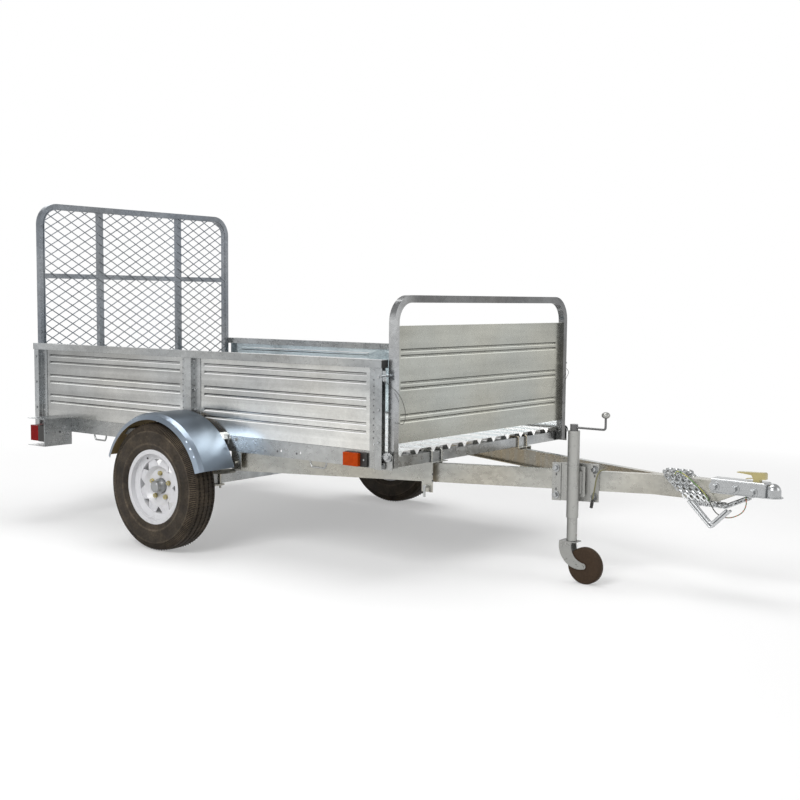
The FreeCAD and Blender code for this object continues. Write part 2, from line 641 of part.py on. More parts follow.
def side_rails():
    behind = S["bed_behind"] - S["rail_rear_gap"]
    rail = channel("side_rail", S["rail_wide"], S["rail_tall"], S["rail_wall"], behind + S["bed_ahead"],
                   "YZ_Plane")
    holes = sketch_in(rail, "side_rail_holes", "XZ_Plane")
    up = S["rail_hole_up"] - S["rail_tall"] / 2
    for side in (-1, 1):
        ahead = behind + S["rail_hole_ahead"] + S["rail_hole_pitch"] * (side / 2)
        drilled(holes, ahead, up, S["rail_hole_bore"])
    pocket(rail, holes, S["rail_wall"] * 4)
    put(rail, -behind, -RAIL_FACE, S["rail_floor"] + S["rail_tall"] / 2)
    both_sides("side_rails", [rail])


def crossmembers():
    span = RAIL_INSIDE * 2
    places = [("cross_fore", S["spring_length"] / 2),
              ("cross_aft", -S["spring_length"] / 2),
              ("cross_rear", -CROSS_REAR + S["cross_wide"] / 2)]
    members = []
    for name, ahead in places:
        member = tube(name, S["cross_wide"], S["cross_tall"], S["rail_wall"], span, "XZ_Plane")
        put(member, ahead, RAIL_INSIDE, S["rail_floor"] + S["cross_tall"] / 2)
        members.append(member)
    short = RAIL_INSIDE - S["cross_end_gap"]
    rear = S["bed_ahead"] - S["cross_wide"]
    front = tube("cross_front_tube", S["cross_wide"], S["cross_tall"], S["rail_wall"], short * 2, "XZ_Plane")
    put(front, rear + S["cross_wide"] / 2, short, S["rail_floor"] + S["cross_tall"] / 2)
    tab_long = RAIL_FACE - S["rail_wall"] - short + S["cross_tab"]
    tabs = []
    for name, start in (("cross_tab_right", -RAIL_FACE + S["rail_wall"]), ("cross_tab_left", short - S["cross_tab"])):
        tabs.append(block(name, S["cross_tab"], tab_long, S["cross_tall"] - S["rail_wall"] * 2, rear, start,
                          S["rail_floor"] + S["rail_wall"]))
    members.append(fused("cross_front", [front] + tabs))
    node("crossmembers", members)


def deck_sheet():
    """Flat-topped sheet with narrow valleys along the bed, laid on the crossmembers."""
    half = float(RAIL_INSIDE - S["deck_side_gap"])
    pitch, deep = float(S["deck_pitch"]), float(S["deck_deep"])
    flat, slope, gauge = float(S["deck_valley"]) / 2, float(S["deck_slope"]), float(S["deck_gauge"])
    lean = gauge * math.tan(math.atan2(deep, slope) / 2)
    count = int((half - flat - slope) // pitch)
    top = [(-half, deep)]
    under = [(-half, deep - gauge)]
    for index in range(-count, count + 1):
        middle = index * pitch
        top += [(middle - flat - slope, deep), (middle - flat, 0), (middle + flat, 0),
                (middle + flat + slope, deep)]
        under += [(middle - flat - slope - lean, deep - gauge), (middle - flat - lean, -gauge),
                  (middle + flat + lean, -gauge), (middle + flat + slope + lean, deep - gauge)]
    top.append((half, deep))
    under.append((half, deep - gauge))
    owner = body("deck")
    sketch = sketch_in(owner, "deck_section", "YZ_Plane")
    free_outline(sketch, top + under[::-1])
    length = S["bed_ahead"] - S["deck_front_gap"] + CROSS_REAR + S["deck_rear_gap"]
    pad(owner, sketch, length)
    put(owner, -CROSS_REAR - S["deck_rear_gap"], 0, CROSS_TOP + S["deck_gauge"])
    node("deck_sheet", owner)


def post(name, ahead, flanges):
    """A folded post on the outside of the side rail: a hat in the middle of the bed, and at the corners
    an angle that is open towards the gate; flanges says which sides bolt to panels."""
    owner = body(name)
    sketch = sketch_in(owner, name + "_section", "XY_Plane")
    half, wall, deep, lip = S["post_wide"] / 2, S["post_wall"], S["post_deep"], S["post_flange"]
    front, rear = [(half, Size(0)), (half, wall)], [(-half, Size(0)), (-half, wall)]
    if "front" in flanges:
        front = [(half, Size(0)), (half, deep - wall), (half + lip, deep - wall), (half + lip, deep),
                 (half - wall, deep), (half - wall, wall)]
    if "rear" in flanges:
        rear = [(-half, Size(0)), (-half, deep - wall), (-half - lip, deep - wall), (-half - lip, deep),
                (-half + wall, deep), (-half + wall, wall)]
    outline(sketch, front + rear[::-1])
    pad(owner, sketch, TOP_RAIL_LOW - S["rail_floor"])
    return put(owner, ahead, -S["bed_width"] / 2, S["rail_floor"])


def posts():
    half = S["post_wide"] / 2
    both_sides("posts", [post("post_rear", -S["bed_behind"] + half, ["front"]),
                         post("post_middle", half, ["front", "rear"]),
                         post("post_front", S["bed_ahead"] - half, ["rear"])])


def top_rails():
    length = S["bed_behind"] + S["top_rail_over"] + S["bed_ahead"] - S["plug_head"] * 2
    rail = tube("top_rail", S["top_rail_wide"], S["top_rail_tall"], S["top_rail_wall"], length,
                "YZ_Plane")
    put(rail, -S["bed_behind"] - S["top_rail_over"] + S["plug_head"],
        -S["bed_width"] / 2 + S["top_rail_wide"] / 2, TOP_RAIL_LOW + S["top_rail_tall"] / 2)
    both_sides("top_rails", [rail])


def rail_plugs():
    """Plastic plugs in the ends of the top rails; each has a head and a stub inside the tube."""
    wide, tall, gap = S["top_rail_wide"], S["top_rail_tall"], S["top_rail_wall"] + S["plug_gap"]
    plugs = []
    ends = [("plug_front", S["bed_ahead"], -1), ("plug_rear", -S["bed_behind"] - S["top_rail_over"], 1)]
    for name, end, inward in ends:
        head_start = end - S["plug_head"] if inward < 0 else end
        stub_start = end - S["plug_depth"] if inward < 0 else end
        head = block(name + "_head", S["plug_head"], wide, tall, head_start,
                     -S["bed_width"] / 2, TOP_RAIL_LOW)
        stub = block(name + "_stub", S["plug_depth"], wide - gap * 2, tall - gap * 2, stub_start,
                     -S["bed_width"] / 2 + gap, TOP_RAIL_LOW + gap)
        plugs.append(fused(name, [head, stub]))
    both_sides("rail_plugs", plugs)


def ridge(name, length, tall, ahead, left, up, rotation=None):
    """A long bar that narrows from its foot to its crown by the slopes of a groove."""
    slope, deep = S["groove_slope"], S["groove_deep"]
    wedge = doc.addObject("Part::Wedge", name)
    bind(wedge, {"Xmin": Size(0) + 0, "Xmax": Size(0) + length, "Ymin": Size(0) + 0,
                 "Ymax": Size(0) + deep, "Zmin": Size(0) + 0, "Zmax": Size(0) + tall,
                 "X2min": Size(0) + slope, "X2max": length - slope,
                 "Z2min": Size(0) + slope, "Z2max": tall - slope})
    return put(wedge, ahead, left, up, rotation)


def grooves(name, sheet_parts, length, places, rotation=None):
    """Presses grooves into a sheet: ridges on its back, then the same, a sheet's gauge smaller, cut out.

    Each place holds the mouth's corner on the face and the back's corner behind it.
    """
    gauge, tall = S["panel_gauge"], S["groove_tall"]
    backs, mouths = [], []
    for index, (mouth, back) in enumerate(places):
        mouths.append(ridge(f"{name}_mouth{index}", length, tall, *mouth, rotation))
        backs.append(ridge(f"{name}_back{index}", length + gauge * 2, tall + gauge * 2, *back, rotation))
    return cut(name, fused(name + "_whole", sheet_parts + backs), fused(name + "_mouths", mouths))


def side_panel(name, start, end, groove_start, groove_end):
    """One bay of a side: sheet with three pairs of pressed grooves, and a folded foot."""
    gauge = S["panel_gauge"]
    foot = S["rail_floor"] + S["rail_tall"] + S["fit_gap"]
    sheet_part = block(name + "_sheet", end - start, gauge, TOP_RAIL_LOW - foot, start, -RAIL_FACE, foot)
    foot_lip = block(name + "_foot", end - start, S["panel_foot"], gauge, start, -RAIL_FACE, foot)
    places = []
    for index in range(3):
        middle = S["rail_floor"] + S["groove_low"] + S["groove_pitch"] * index - S["groove_tall"] / 2
        for low in (middle - S["groove_pair"] / 2, middle + S["groove_pair"] / 2):
            places.append(((groove_start, -RAIL_FACE, low),
                           (groove_start - gauge, -RAIL_FACE + gauge, low - gauge)))
    return grooves(name, [sheet_part, foot_lip], groove_end - groove_start, places)


def side_panels():
    seam = S["fit_gap"] / 2
    middle, wide = S["post_wide"] / 2, S["post_wide"]
    rear = side_panel("panel_rear", -S["bed_behind"], middle - seam,
                      -S["bed_behind"] + wide + S["post_flange"] + S["groove_stop"],
                      -S["post_flange"] - S["groove_stop"])
    front = side_panel("panel_front", middle + seam, Size(0) + S["bed_ahead"],
                       wide + S["post_flange"] + S["groove_stop"],
                       S["bed_ahead"] - wide - S["post_flange"] - S["groove_stop"])
    both_sides("side_panels", [rear, front])


def tie_loops():
    """Bent-rod loops welded under each side rail."""
    half, lean, drop = N["loop_long"] / 2, N["loop_lean"], N["loop_drop"]
    top = N["rail_floor"]
    loops = []
    for middle in (N["loop_fore"], N["loop_aft"]):
        for side in (-1, 1):
            left = side * float(RAIL_FACE - S["rail_wall"] - S["loop_rod"] / 2)
            points = [at(middle - half, left, top), at(middle - half, left, top - N["loop_rod"]),
                      at(middle - half + lean, left, top - drop), at(middle + half - lean, left, top - drop),
                      at(middle + half, left, top - N["loop_rod"]), at(middle + half, left, top)]
            loops.append(bent_rod(points, N["loop_rod"] / 2, N["loop_bend"]))
    shape_node("tie_loops", Part.makeCompound(loops))


# ------------------------------------------------------------------ lamps

def side_markers():
    """Amber side lamps on the rails: a moulded base with a lens over its rear part."""
    rim = S["marker_rim"]
    low, behind = S["rail_floor"] + rim, S["bed_ahead"] - S["marker_gap"] - S["marker_long"]
    base = block("marker_base_block", S["marker_long"], S["marker_base"], S["marker_tall"], behind,
                 -RAIL_FACE - S["marker_base"], low)
    both_sides("marker_bases", [base])
    lens = block("marker_lens_block", S["marker_lens_long"], S["marker_lens"], S["marker_tall"] - rim * 2,
                 behind + rim, -RAIL_FACE - S["marker_base"] - S["marker_lens"], low + rim)
    both_sides("marker_lenses", [lens])


def tail_lamps():
    """Folded brackets that carry the tail lamps outboard of the bed, open to the rear."""
    gauge, reach, tall = S["lamp_arm_gauge"], S["lamp_arm_reach"], S["lamp_arm_tall"]
    flange, web, edge = S["lamp_arm_flange"], S["lamp_arm_ahead"], S["lamp_edge"]
    low = S["rail_floor"] - S["lamp_arm_drop"]
    right = -RAIL_FACE - reach
    pieces = [block("lamp_web", gauge, reach, tall, web - gauge, right, low),
              block("lamp_top", flange, reach, gauge, web - flange, right, low + tall - gauge),
              block("lamp_floor", flange, reach, gauge, web - flange, right, low),
              block("lamp_foot", flange, gauge, tall, web - flange, -RAIL_FACE - gauge, low)]
    both_sides("tail_lamp_brackets", [fused("lamp_arm", pieces)])
    housing = block("lamp_housing", S["lamp_base"], S["lamp_wide"], S["lamp_tall"],
                    web - gauge - S["lamp_base"], right + edge, low + S["lamp_up"])
    both_sides("tail_lamp_housings", [housing])
    lens = block("lamp_lens_block", S["lamp_lens"], S["lamp_wide"] - edge * 2, S["lamp_tall"] - edge * 2,
                 web - gauge - S["lamp_base"] - S["lamp_lens"], right + edge * 2, low + S["lamp_up"] + edge)
    both_sides("tail_lamp_lenses", [lens])


# ------------------------------------------------------------------ axle and springs

def axle_beam():
    """Square axle tube with a round spindle at each end."""
    half, size = AXLE_HALF, S["axle_tube"]
    beam = tube("axle_tube_body", size, size, S["axle_wall"], half * 2, "XZ_Plane")
    put(beam, 0, half, S["axle_height"])
    plugs = []
    inner = size - S["axle_wall"] * 2
    tip = TRACK_HALF + S["spindle_past"]
    for name, side in (("right", -1), ("left", 1)):
        stub_start = -half if side < 0 else half - S["axle_tube"]
        plug = block(f"axle_plug_{name}", inner, S["axle_tube"], inner, -inner / 2, stub_start,
                     S["axle_height"] - inner / 2)
        spindle = rod(f"spindle_{name}", S["spindle_bore"] / 2, tip - half, 0,
                      half if side > 0 else -tip, S["axle_height"], "y")
        plugs += [plug, spindle]
    node("axle_beam", fused("axle_whole", [beam] + plugs))


def eye_height():
    """Floor to the centres of the spring eyes."""
    return (N["axle_height"] + N["axle_tube"] / 2 + N["leaf_gauge"] * 2 + N["spring_rise"]
            + N["leaf_gauge"] / 2)


def leaf_spring(side):
    """Three bowed leaves and two rolled eyes, over the axle."""
    half, gauge, wide = N["spring_length"] / 2, N["leaf_gauge"], N["spring_wide"]
    left = side * float(SPRING_SIDE) - wide / 2
    seat = N["axle_height"] + N["axle_tube"] / 2
    across = FreeCAD.Vector(0, 1, 0)
    leaves = []
    for index, share in enumerate((N["spring_short"], N["spring_middle"], 1.0)):
        low = seat + gauge * index
        reach, lift = half * share, N["spring_rise"] * share * share
        spots = [(-reach, low + lift), (0, low), (reach, low + lift),
                 (reach, low + lift + gauge), (0, low + gauge), (-reach, low + lift + gauge)]
        a, b, c, d, e, f = [at(ahead, left, up) for ahead, up in spots]
        wire = Part.Wire([Part.Arc(a, b, c).toShape(), Part.LineSegment(c, d).toShape(),
                          Part.Arc(d, e, f).toShape(), Part.LineSegment(f, a).toShape()])
        leaves.append(Part.Face(wire).extrude(across * wide))
    eyes = [at(end * half, left, eye_height()) for end in (-1, 1)]
    rolls = [Part.makeCylinder(N["eye_radius"], wide, eye, across) for eye in eyes]
    holes = [Part.makeCylinder(N["eye_radius"] - gauge, wide, eye, across) for eye in eyes]
    return leaves[0].fuse(leaves[1:] + rolls).cut(holes).removeSplitter()


def leaf_springs():
    shape_node("leaf_springs", Part.makeCompound([leaf_spring(side) for side in (-1, 1)]))


def spring_hangers():
    """Forked hangers under the middle crossmembers, each with the bolt through a spring's eye."""
    half, long, gauge = N["spring_length"] / 2, N["hanger_long"], N["hanger_gauge"]
    inside = N["spring_wide"] / 2 + N["hanger_gap"]
    low, top = eye_height() - N["hanger_below"], N["rail_floor"]
    bolt_half = inside + gauge + N["eye_pin_past"]
    bolt_radius = N["eye_radius"] - N["leaf_gauge"] - N["pin_gap"]
    hangers = []
    for side in (-1, 1):
        for end in (-1, 1):
            middle = side * float(SPRING_SIDE)
            rear = end * half - long / 2
            bridge = Part.makeBox(long, 2 * (inside + gauge), gauge, at(rear, middle - inside - gauge, top - gauge))
            cheeks = [Part.makeBox(long, gauge, top - low, at(rear, start, low))
                      for start in (middle - inside - gauge, middle + inside)]
            bolt = Part.makeCylinder(bolt_radius, 2 * bolt_half, at(end * half, middle - bolt_half, eye_height()),
                                     FreeCAD.Vector(0, 1, 0))
            hangers.append(bridge.fuse(cheeks + [bolt]).removeSplitter())
    shape_node("spring_hangers", Part.makeCompound(hangers))


def spring_clamps():
    """U-bolts over each spring, with the plate under the axle that they pull against."""
    top = N["axle_height"] + N["axle_tube"] / 2 + 3 * N["leaf_gauge"]
    low = N["axle_height"] - N["axle_tube"] / 2 - N["clamp_gauge"]
    wide, radius = N["spring_wide"], N["ubolt_rod"] / 2
    over = N["clamp_over"]
    clamps = []
    for side in (-1, 1):
        middle = side * float(SPRING_SIDE)
        clamp = Part.makeBox(N["clamp_long"], wide + 2 * over, N["clamp_gauge"],
                             at(-N["clamp_long"] / 2, middle - wide / 2 - over, low))
        reach = N["axle_tube"] / 2 + radius + N["fit_gap"]
        edge = wide / 2 + radius + N["fit_gap"]
        crown, foot = top + radius + N["fit_gap"], low - N["ubolt_below"]
        for ahead in (-reach, reach):
            points = [at(ahead, middle - edge, foot), at(ahead, middle - edge, crown),
                      at(ahead, middle + edge, crown), at(ahead, middle + edge, foot)]
            clamp = clamp.fuse(bent_rod(points, radius, radius * 1.2 ))
        clamps.append(clamp.removeSplitter())
    shape_node("spring_clamps", Part.makeCompound(clamps))


# ------------------------------------------------------------------ wheels and fenders

def wheel(side, name):
    """Tyre, spoked steel rim and hub of one wheel."""
    centre = at(0, side * float(TRACK_HALF), S["axle_height"])
    spin = FreeCAD.Vector(0, side, 0)

    def turned(profile):
        """A profile of (outboard of the tyre's middle, radius) turned about the axle."""
        spots = [FreeCAD.Vector(centre.x, centre.y + side * across, centre.z + out)
                 for across, out in profile + profile[:1]]
        return Part.Face(Part.makePolygon(spots)).revolve(centre, spin, 360)

    radius, half_wide = N["tyre_radius"], N["tyre_width"] / 2
    seat, lip, half, wall = N["rim_radius"], N["rim_lip"], N["rim_width"] / 2, N["rim_wall"]
    tread, bulge, rounded = half_wide - N["tyre_shoulder"], radius - N["tyre_bulge"], N["tyre_round"]
    bead_out = half - wall - N["tyre_seat_gap"]
    bead_in, foot = bead_out - N["tyre_bead"], seat + N["tyre_seat_gap"]
    outside = [(bead_out, foot), (bead_out, lip + wall), (half + rounded, lip + wall * 3),
               (half_wide, bulge), (half_wide - wall, (bulge + radius) / 2), (tread, radius - rounded),
               (tread - rounded * 2, radius)]
    inside = [(bead_in, foot), (bead_in, lip + rounded), (half_wide - N["tyre_wall"], bulge),
              (half_wide - N["tyre_wall"] - wall, (bulge + radius) / 2 - wall),
              (tread - rounded, radius - N["tyre_tread"])]
    other = lambda profile: [(-across, out) for across, out in profile]
    shape_node(f"tyre_{name}", turned(other(outside) + outside[::-1] + inside + other(inside)[::-1]))
    drop = seat - N["rim_well"]
    well, slope = N["rim_well_half"], N["rim_well_slope"]
    top = [(half, lip), (half - wall, lip), (half - wall, seat), (well + slope, seat), (well, drop)]
    under = [(half, seat - wall), (well + slope + wall, seat - wall), (well + wall, drop - wall)]
    barrel = turned(top + other(top)[::-1] + other(under) + under[::-1])
    face, crown, bowl, ridge = N["disc_face"], N["disc_crown"], N["disc_bowl"], N["disc_ridge"]
    join = drop - wall / 2
    disc = turned([(face, N["disc_bore"] / 2), (face, bowl), (crown, ridge), (well, join),
                   (well - wall, join), (crown - wall, ridge), (face - wall, bowl + wall / 2),
                   (face - wall, N["disc_bore"] / 2)])
    cuts = []
    count = int(N["rim_window_count"])
    for index in range(count):
        spots = [(0, N["window_low"]), (-N["window_wide"] / 2, N["window_high"]),
                 (N["window_wide"] / 2, N["window_high"]), (0, N["window_low"])]
        corners = [FreeCAD.Vector(centre.x + x, centre.y, centre.z + z) for x, z in spots]
        prism = Part.Face(Part.makePolygon(corners)).extrude(spin * half)
        cuts.append(prism.rotate(centre, spin, index * 360 / count))
    studs = []
    for index in range(int(N["stud_count"])):
        angle = index * 2 * math.pi / int(N["stud_count"]) + math.pi / 2
        reach = N["stud_circle"] / 2
        spot = centre + FreeCAD.Vector(reach * math.cos(angle), 0, reach * math.sin(angle))
        cuts.append(Part.makeCylinder(N["stud_bore"] / 2 + N["stud_gap"], half, spot, spin))
        studs.append(spot)
    shape_node(f"rim_{name}", barrel.fuse(disc.cut(cuts)).removeSplitter())
    bore, barrel_out = N["spindle_bore"] / 2 + N["pin_gap"], N["hub_barrel"]
    flange = face - wall - N["hub_gap"]
    back, front, cap = -N["hub_inboard"], N["hub_outboard"], N["cap_radius"]
    cap_end = front + N["cap_long"]
    hub = [(back, bore), (back, barrel_out), (flange - N["hub_gauge"], barrel_out),
           (flange - N["hub_gauge"], N["hub_radius"]), (flange, N["hub_radius"]), (flange, barrel_out - 1),
           (front, barrel_out - 1), (front, cap + 3), (front + wall, cap + 3), (front + wall, cap),
           (cap_end - rounded, cap - 2), (cap_end, cap - rounded * 2), (cap_end, 0), (cap_end - 3, 0),
           (cap_end - 3, bore), (back, bore)]
    hub_solid = turned(hub[:-1])
    for spot in studs:
        stud = Part.makeCylinder(N["stud_bore"] / 2, N["stud_long"], spot + spin * (flange - N["hub_gauge"]), spin)
        hub_solid = hub_solid.fuse(stud)
    shape_node(f"hub_{name}", hub_solid.removeSplitter())


def fender(side, name):
    """Rolled one-piece fender over a wheel, with a folded outer edge."""
    centre = at(0, 0, S["axle_height"])
    gauge, fold, bevel, outer = N["fender_gauge"], N["fender_skirt"], N["fender_bevel"], N["fender_radius"]
    inside = side * float(S["bed_width"] / 2 + S["fender_gap"])
    outside = inside + side * N["fender_width"]
    section = [(inside, outer), (outside - side * fold, outer), (outside - side * bevel, outer - bevel),
               (outside, outer - fold), (outside - side * gauge, outer - fold),
               (outside - side * (bevel + gauge), outer - bevel - gauge),
               (outside - side * fold, outer - gauge), (inside, outer - gauge)]
    start, end = N["fender_start"], N["fender_end"]
    points = [FreeCAD.Vector(centre.x + out, left, centre.z) for left, out in section + section[:1]]
    face = Part.Face(Part.makePolygon(points))
    back = FreeCAD.Vector(0, -1, 0)
    face = face.rotate(centre, back, start)
    shape_node(f"fender_{name}", face.revolve(centre, back, end - start))


def fender_brackets():
    """Stays from each side rail to the underside of its fender, ahead of the wheel and behind it."""
    centre = at(0, 0, S["axle_height"])
    under = N["fender_radius"] - N["fender_gauge"]
    back = FreeCAD.Vector(0, -1, 0)
    gauge = N["stay_gauge"]
    swing = math.degrees(N["stay_wide"] / under)
    brackets = []
    for side in (-1, 1):
        face = side * float(RAIL_FACE)
        tip = face + side * N["stay_reach"]
        for angle in (N["stay_angle"], 180 - N["stay_angle"] - swing):
            spots = [FreeCAD.Vector(centre.x + out, left, centre.z)
                     for left, out in ((face, under), (tip, under), (tip, under - gauge),
                                       (face, under - gauge), (face, under))]
            strap = Part.Face(Part.makePolygon(spots)).rotate(centre, back, angle)
            strap = strap.revolve(centre, back, swing)
            middle = math.radians(angle + swing / 2)
            foot = Part.makeBox(N["stay_wide"], gauge, N["stay_tall"],
                                FreeCAD.Vector(centre.x + under * math.cos(middle) - N["stay_wide"] / 2,
                                               min(face, face + side * gauge),
                                               centre.z + under * math.sin(middle) - N["stay_tall"] + gauge))
            brackets.append(strap.fuse(foot).removeSplitter())
    shape_node("fender_brackets", Part.makeCompound(brackets))


# ------------------------------------------------------------------ gates

def hoop_route(width, top, foot, ahead):
    half = float(width) / 2 - N["hoop_tube"] / 2
    crown = float(top) - N["hoop_tube"] / 2
    return [at(ahead, -half, foot), at(ahead, -half, crown), at(ahead, half, crown), at(ahead, half, foot)]


def pin_holes(ahead, up, width):
    """Drills for the hinge pins through a gate's two feet."""
    half, reach = float(width) / 2, N["hoop_tube"] + 2
    radius = N["hinge_pin"] / 2 + N["pin_gap"]
    drills = [Part.makeCylinder(radius, reach, at(ahead, start, up), FreeCAD.Vector(0, 1, 0))
              for start in (-half - 1, half + 1 - reach)]
    return drills[0].fuse(drills[1])


def front_gate_hinges():
    """Ears on the front ends of the side rails, inside the open corner posts, with the hinge pins."""
    ahead, half = float(HOOP_AHEAD), float(HOOP_WIDTH) / 2
    low, pivot, gauge = N["rail_floor"], float(HOOP_PIVOT), N["ear_gauge"]
    nose, tail, top = ahead + N["ear_nose"], ahead - N["ear_tail"], low + N["ear_tall"]
    ears = []
    for side in (-1, 1):
        face = side * float(RAIL_FACE)
        near = min(face, face + side * gauge)
        outline_points = [at(tail, near, low), at(nose, near, low), at(nose, near, pivot)]
        bend = Part.Arc(at(nose, near, pivot), at(ahead + N["ear_nose"] * 0.7, near, pivot + N["ear_nose"] * 0.7),
                        at(ahead, near, pivot + N["ear_nose"]))
        rise = [at(ahead, near, pivot + N["ear_nose"]), at(tail + gauge * 3, near, top), at(tail, near, top),
                at(tail, near, low)]
        edges = [Part.LineSegment(a, b).toShape() for a, b in zip(outline_points, outline_points[1:])]
        edges.append(bend.toShape())
        edges += [Part.LineSegment(a, b).toShape() for a, b in zip(rise, rise[1:])]
        ear = Part.Face(Part.Wire(edges)).extrude(FreeCAD.Vector(0, gauge, 0))
        out = FreeCAD.Vector(0, side, 0)
        reach = abs(face) - half + N["pin_reach"]
        pin = Part.makeCylinder(N["hinge_pin"] / 2, reach, at(ahead, side * (half - N["pin_reach"]), pivot), out)
        head = Part.makeCylinder(N["hinge_head"], N["hinge_head_tall"], at(ahead, face + side * gauge, pivot), out)
        ears.append(ear.fuse([pin, head]).removeSplitter())
    shape_node("front_gate_hinges", Part.makeCompound(ears))


def front_gate_latches():
    """Tabs high on the front posts with the spring pins that hold the gate up, drawn clear of it."""
    rear = N["bed_ahead"] + N["hoop_gap"]
    gauge, low = N["ear_gauge"], float(TOP_RAIL_LOW) - N["latch_drop"]
    start = rear + N["latch_tab_ahead"] - N["latch_tab_long"]
    latches = []
    for side in (-1, 1):
        face = side * (N["bed_width"] / 2 - N["post_wall"])
        tab = Part.makeBox(N["latch_tab_long"], gauge, N["latch_tab_tall"], at(start, min(face, face - side * gauge), low))
        pin_start = side * (float(HOOP_WIDTH) / 2 + N["latch_pin_gap"])
        pin = Part.makeCylinder(N["latch_pin"] / 2, N["latch_pin_long"],
                                at(rear, pin_start, low + N["latch_tab_tall"] / 2), FreeCAD.Vector(0, side, 0))
        latches.append(tab.fuse(pin).removeSplitter())
    shape_node("front_gate_latches", Part.makeCompound(latches))


def rear_gate_hinges():
    """Lugs in the rear ends of the side rails, with the tailgate's hinge pins."""
    ahead, pivot, half = float(GATE_AHEAD), float(GATE_PIVOT), float(GATE_WIDTH) / 2
    back, gauge, rounding = float(RAIL_FACE - S["rail_wall"]), N["lug_gauge"], N["lug_round"]
    lugs = []
    for side in (-1, 1):
        near = min(side * back, side * (back - gauge))
        lug = Part.makeBox(N["lug_long"], gauge, rounding * 2, at(ahead, near, pivot - rounding))
        lug = lug.fuse(Part.makeCylinder(rounding, gauge, at(ahead, near, pivot), FreeCAD.Vector(0, 1, 0)))
        start = half - N["pin_reach"]
        pin = Part.makeCylinder(N["hinge_pin"] / 2, back + N["lug_pin_past"] - start, at(ahead, side * start, pivot),
                                FreeCAD.Vector(0, side, 0))
        lugs.append(lug.fuse(pin).removeSplitter())
    shape_node("rear_gate_hinges", Part.makeCompound(lugs))


def front_gate():
    """Bent-tube hoop that carries the ribbed front panel."""
    size, wall = N["hoop_tube"], N["hoop_wall"]
    foot_up = float(S["rail_floor"] + S["hoop_foot"])
    route = hoop_route(HOOP_WIDTH, S["hoop_top"], foot_up, HOOP_AHEAD)
    hoop = bent_tube(route, N["hoop_corner"] - size / 2, size, size, wall)
    shape_node("front_gate_hoop", hoop.cut(pin_holes(HOOP_AHEAD, HOOP_PIVOT, HOOP_WIDTH)))
    inside = HOOP_WIDTH / 2 - S["hoop_tube"]
    gauge = S["panel_gauge"]
    plane = S["bed_ahead"] + S["hoop_gap"] + S["front_panel_set"]
    foot, top = S["front_panel_foot"], S["front_panel_top"]
    sheet_part = block("front_sheet", gauge, inside * 2, top - foot, plane, -inside, foot)
    lip = block("front_lip", S["panel_lip"], inside * 2, gauge, plane, -inside, top - gauge)
    start = inside - S["front_groove_stop"]
    places = []
    for index in range(3):
        middle = foot + S["front_groove_low"] + S["front_groove_pitch"] * index - S["groove_tall"] / 2
        for low in (middle - S["front_groove_pair"] / 2, middle + S["front_groove_pair"] / 2):
            places.append(((plane + gauge, -start, low), (plane, -start - gauge, low - gauge)))
    node("front_gate_panel", grooves("front_panel", [sheet_part, lip], start * 2, places,
                                     turn((0, 0, 1), 90)))


def rear_gate():
    """Tube-framed tailgate: hoop, lower bar, middle bar and two uprights folded open to the rear."""
    size, wall = N["hoop_tube"], N["hoop_wall"]
    route = hoop_route(GATE_WIDTH, S["gate_top"], GATE_LOW, GATE_AHEAD)
    frame = bent_tube(route, N["hoop_corner"] - size / 2, size, size, wall)
    half, low, top = float(GATE_WIDTH) / 2 - size, float(GATE_LOW), N["gate_top"] - size
    front, deep = -N["bed_behind"], N["gate_bar_deep"]
    tall, wide = N["gate_bar_tall"], N["gate_stile_wide"]
    spans = [(size, -half, half, low, low + size), (deep, -half, half, N["gate_bar"] - tall / 2, N["gate_bar"] + tall / 2)]
    for side in (-1, 1):
        middle = side * N["gate_stile"]
        spans.append((deep, middle - wide / 2, middle + wide / 2, low + size / 2, top))
    bars, hollows = [], []
    for depth, right, left, under, over in spans:
        bars.append(Part.makeBox(depth, left - right, over - under, at(front - depth, right, under)))
        across = left - right > over - under
        ends, sides = (0, wall) if across else (wall, 0)
        hollows.append(Part.makeBox(depth, left - right - 2 * ends, over - under - 2 * sides,
                                    at(front - depth - wall, right + ends, under + sides)))
    grid = bars[0].fuse(bars[1:]).cut(hollows)
    holes = pin_holes(GATE_AHEAD, GATE_PIVOT, GATE_WIDTH)
    shape_node("rear_gate_frame", frame.fuse(grid).cut(holes).removeSplitter())


def clipped(points, across, up, limit):
    """The part of a convex outline where across * y + up * z doesn't pass the limit."""
    kept = []
    for (y0, z0), (y1, z1) in zip(points, points[1:] + points[:1]):
        before, after = across * y0 + up * z0 - limit, across * y1 + up * z1 - limit
        if before <= 0:
            kept.append((y0, z0))
        if before * after < 0:
            share = before / (before - after)
            kept.append((y0 + (y1 - y0) * share, z0 + (z1 - z0) * share))
    return kept


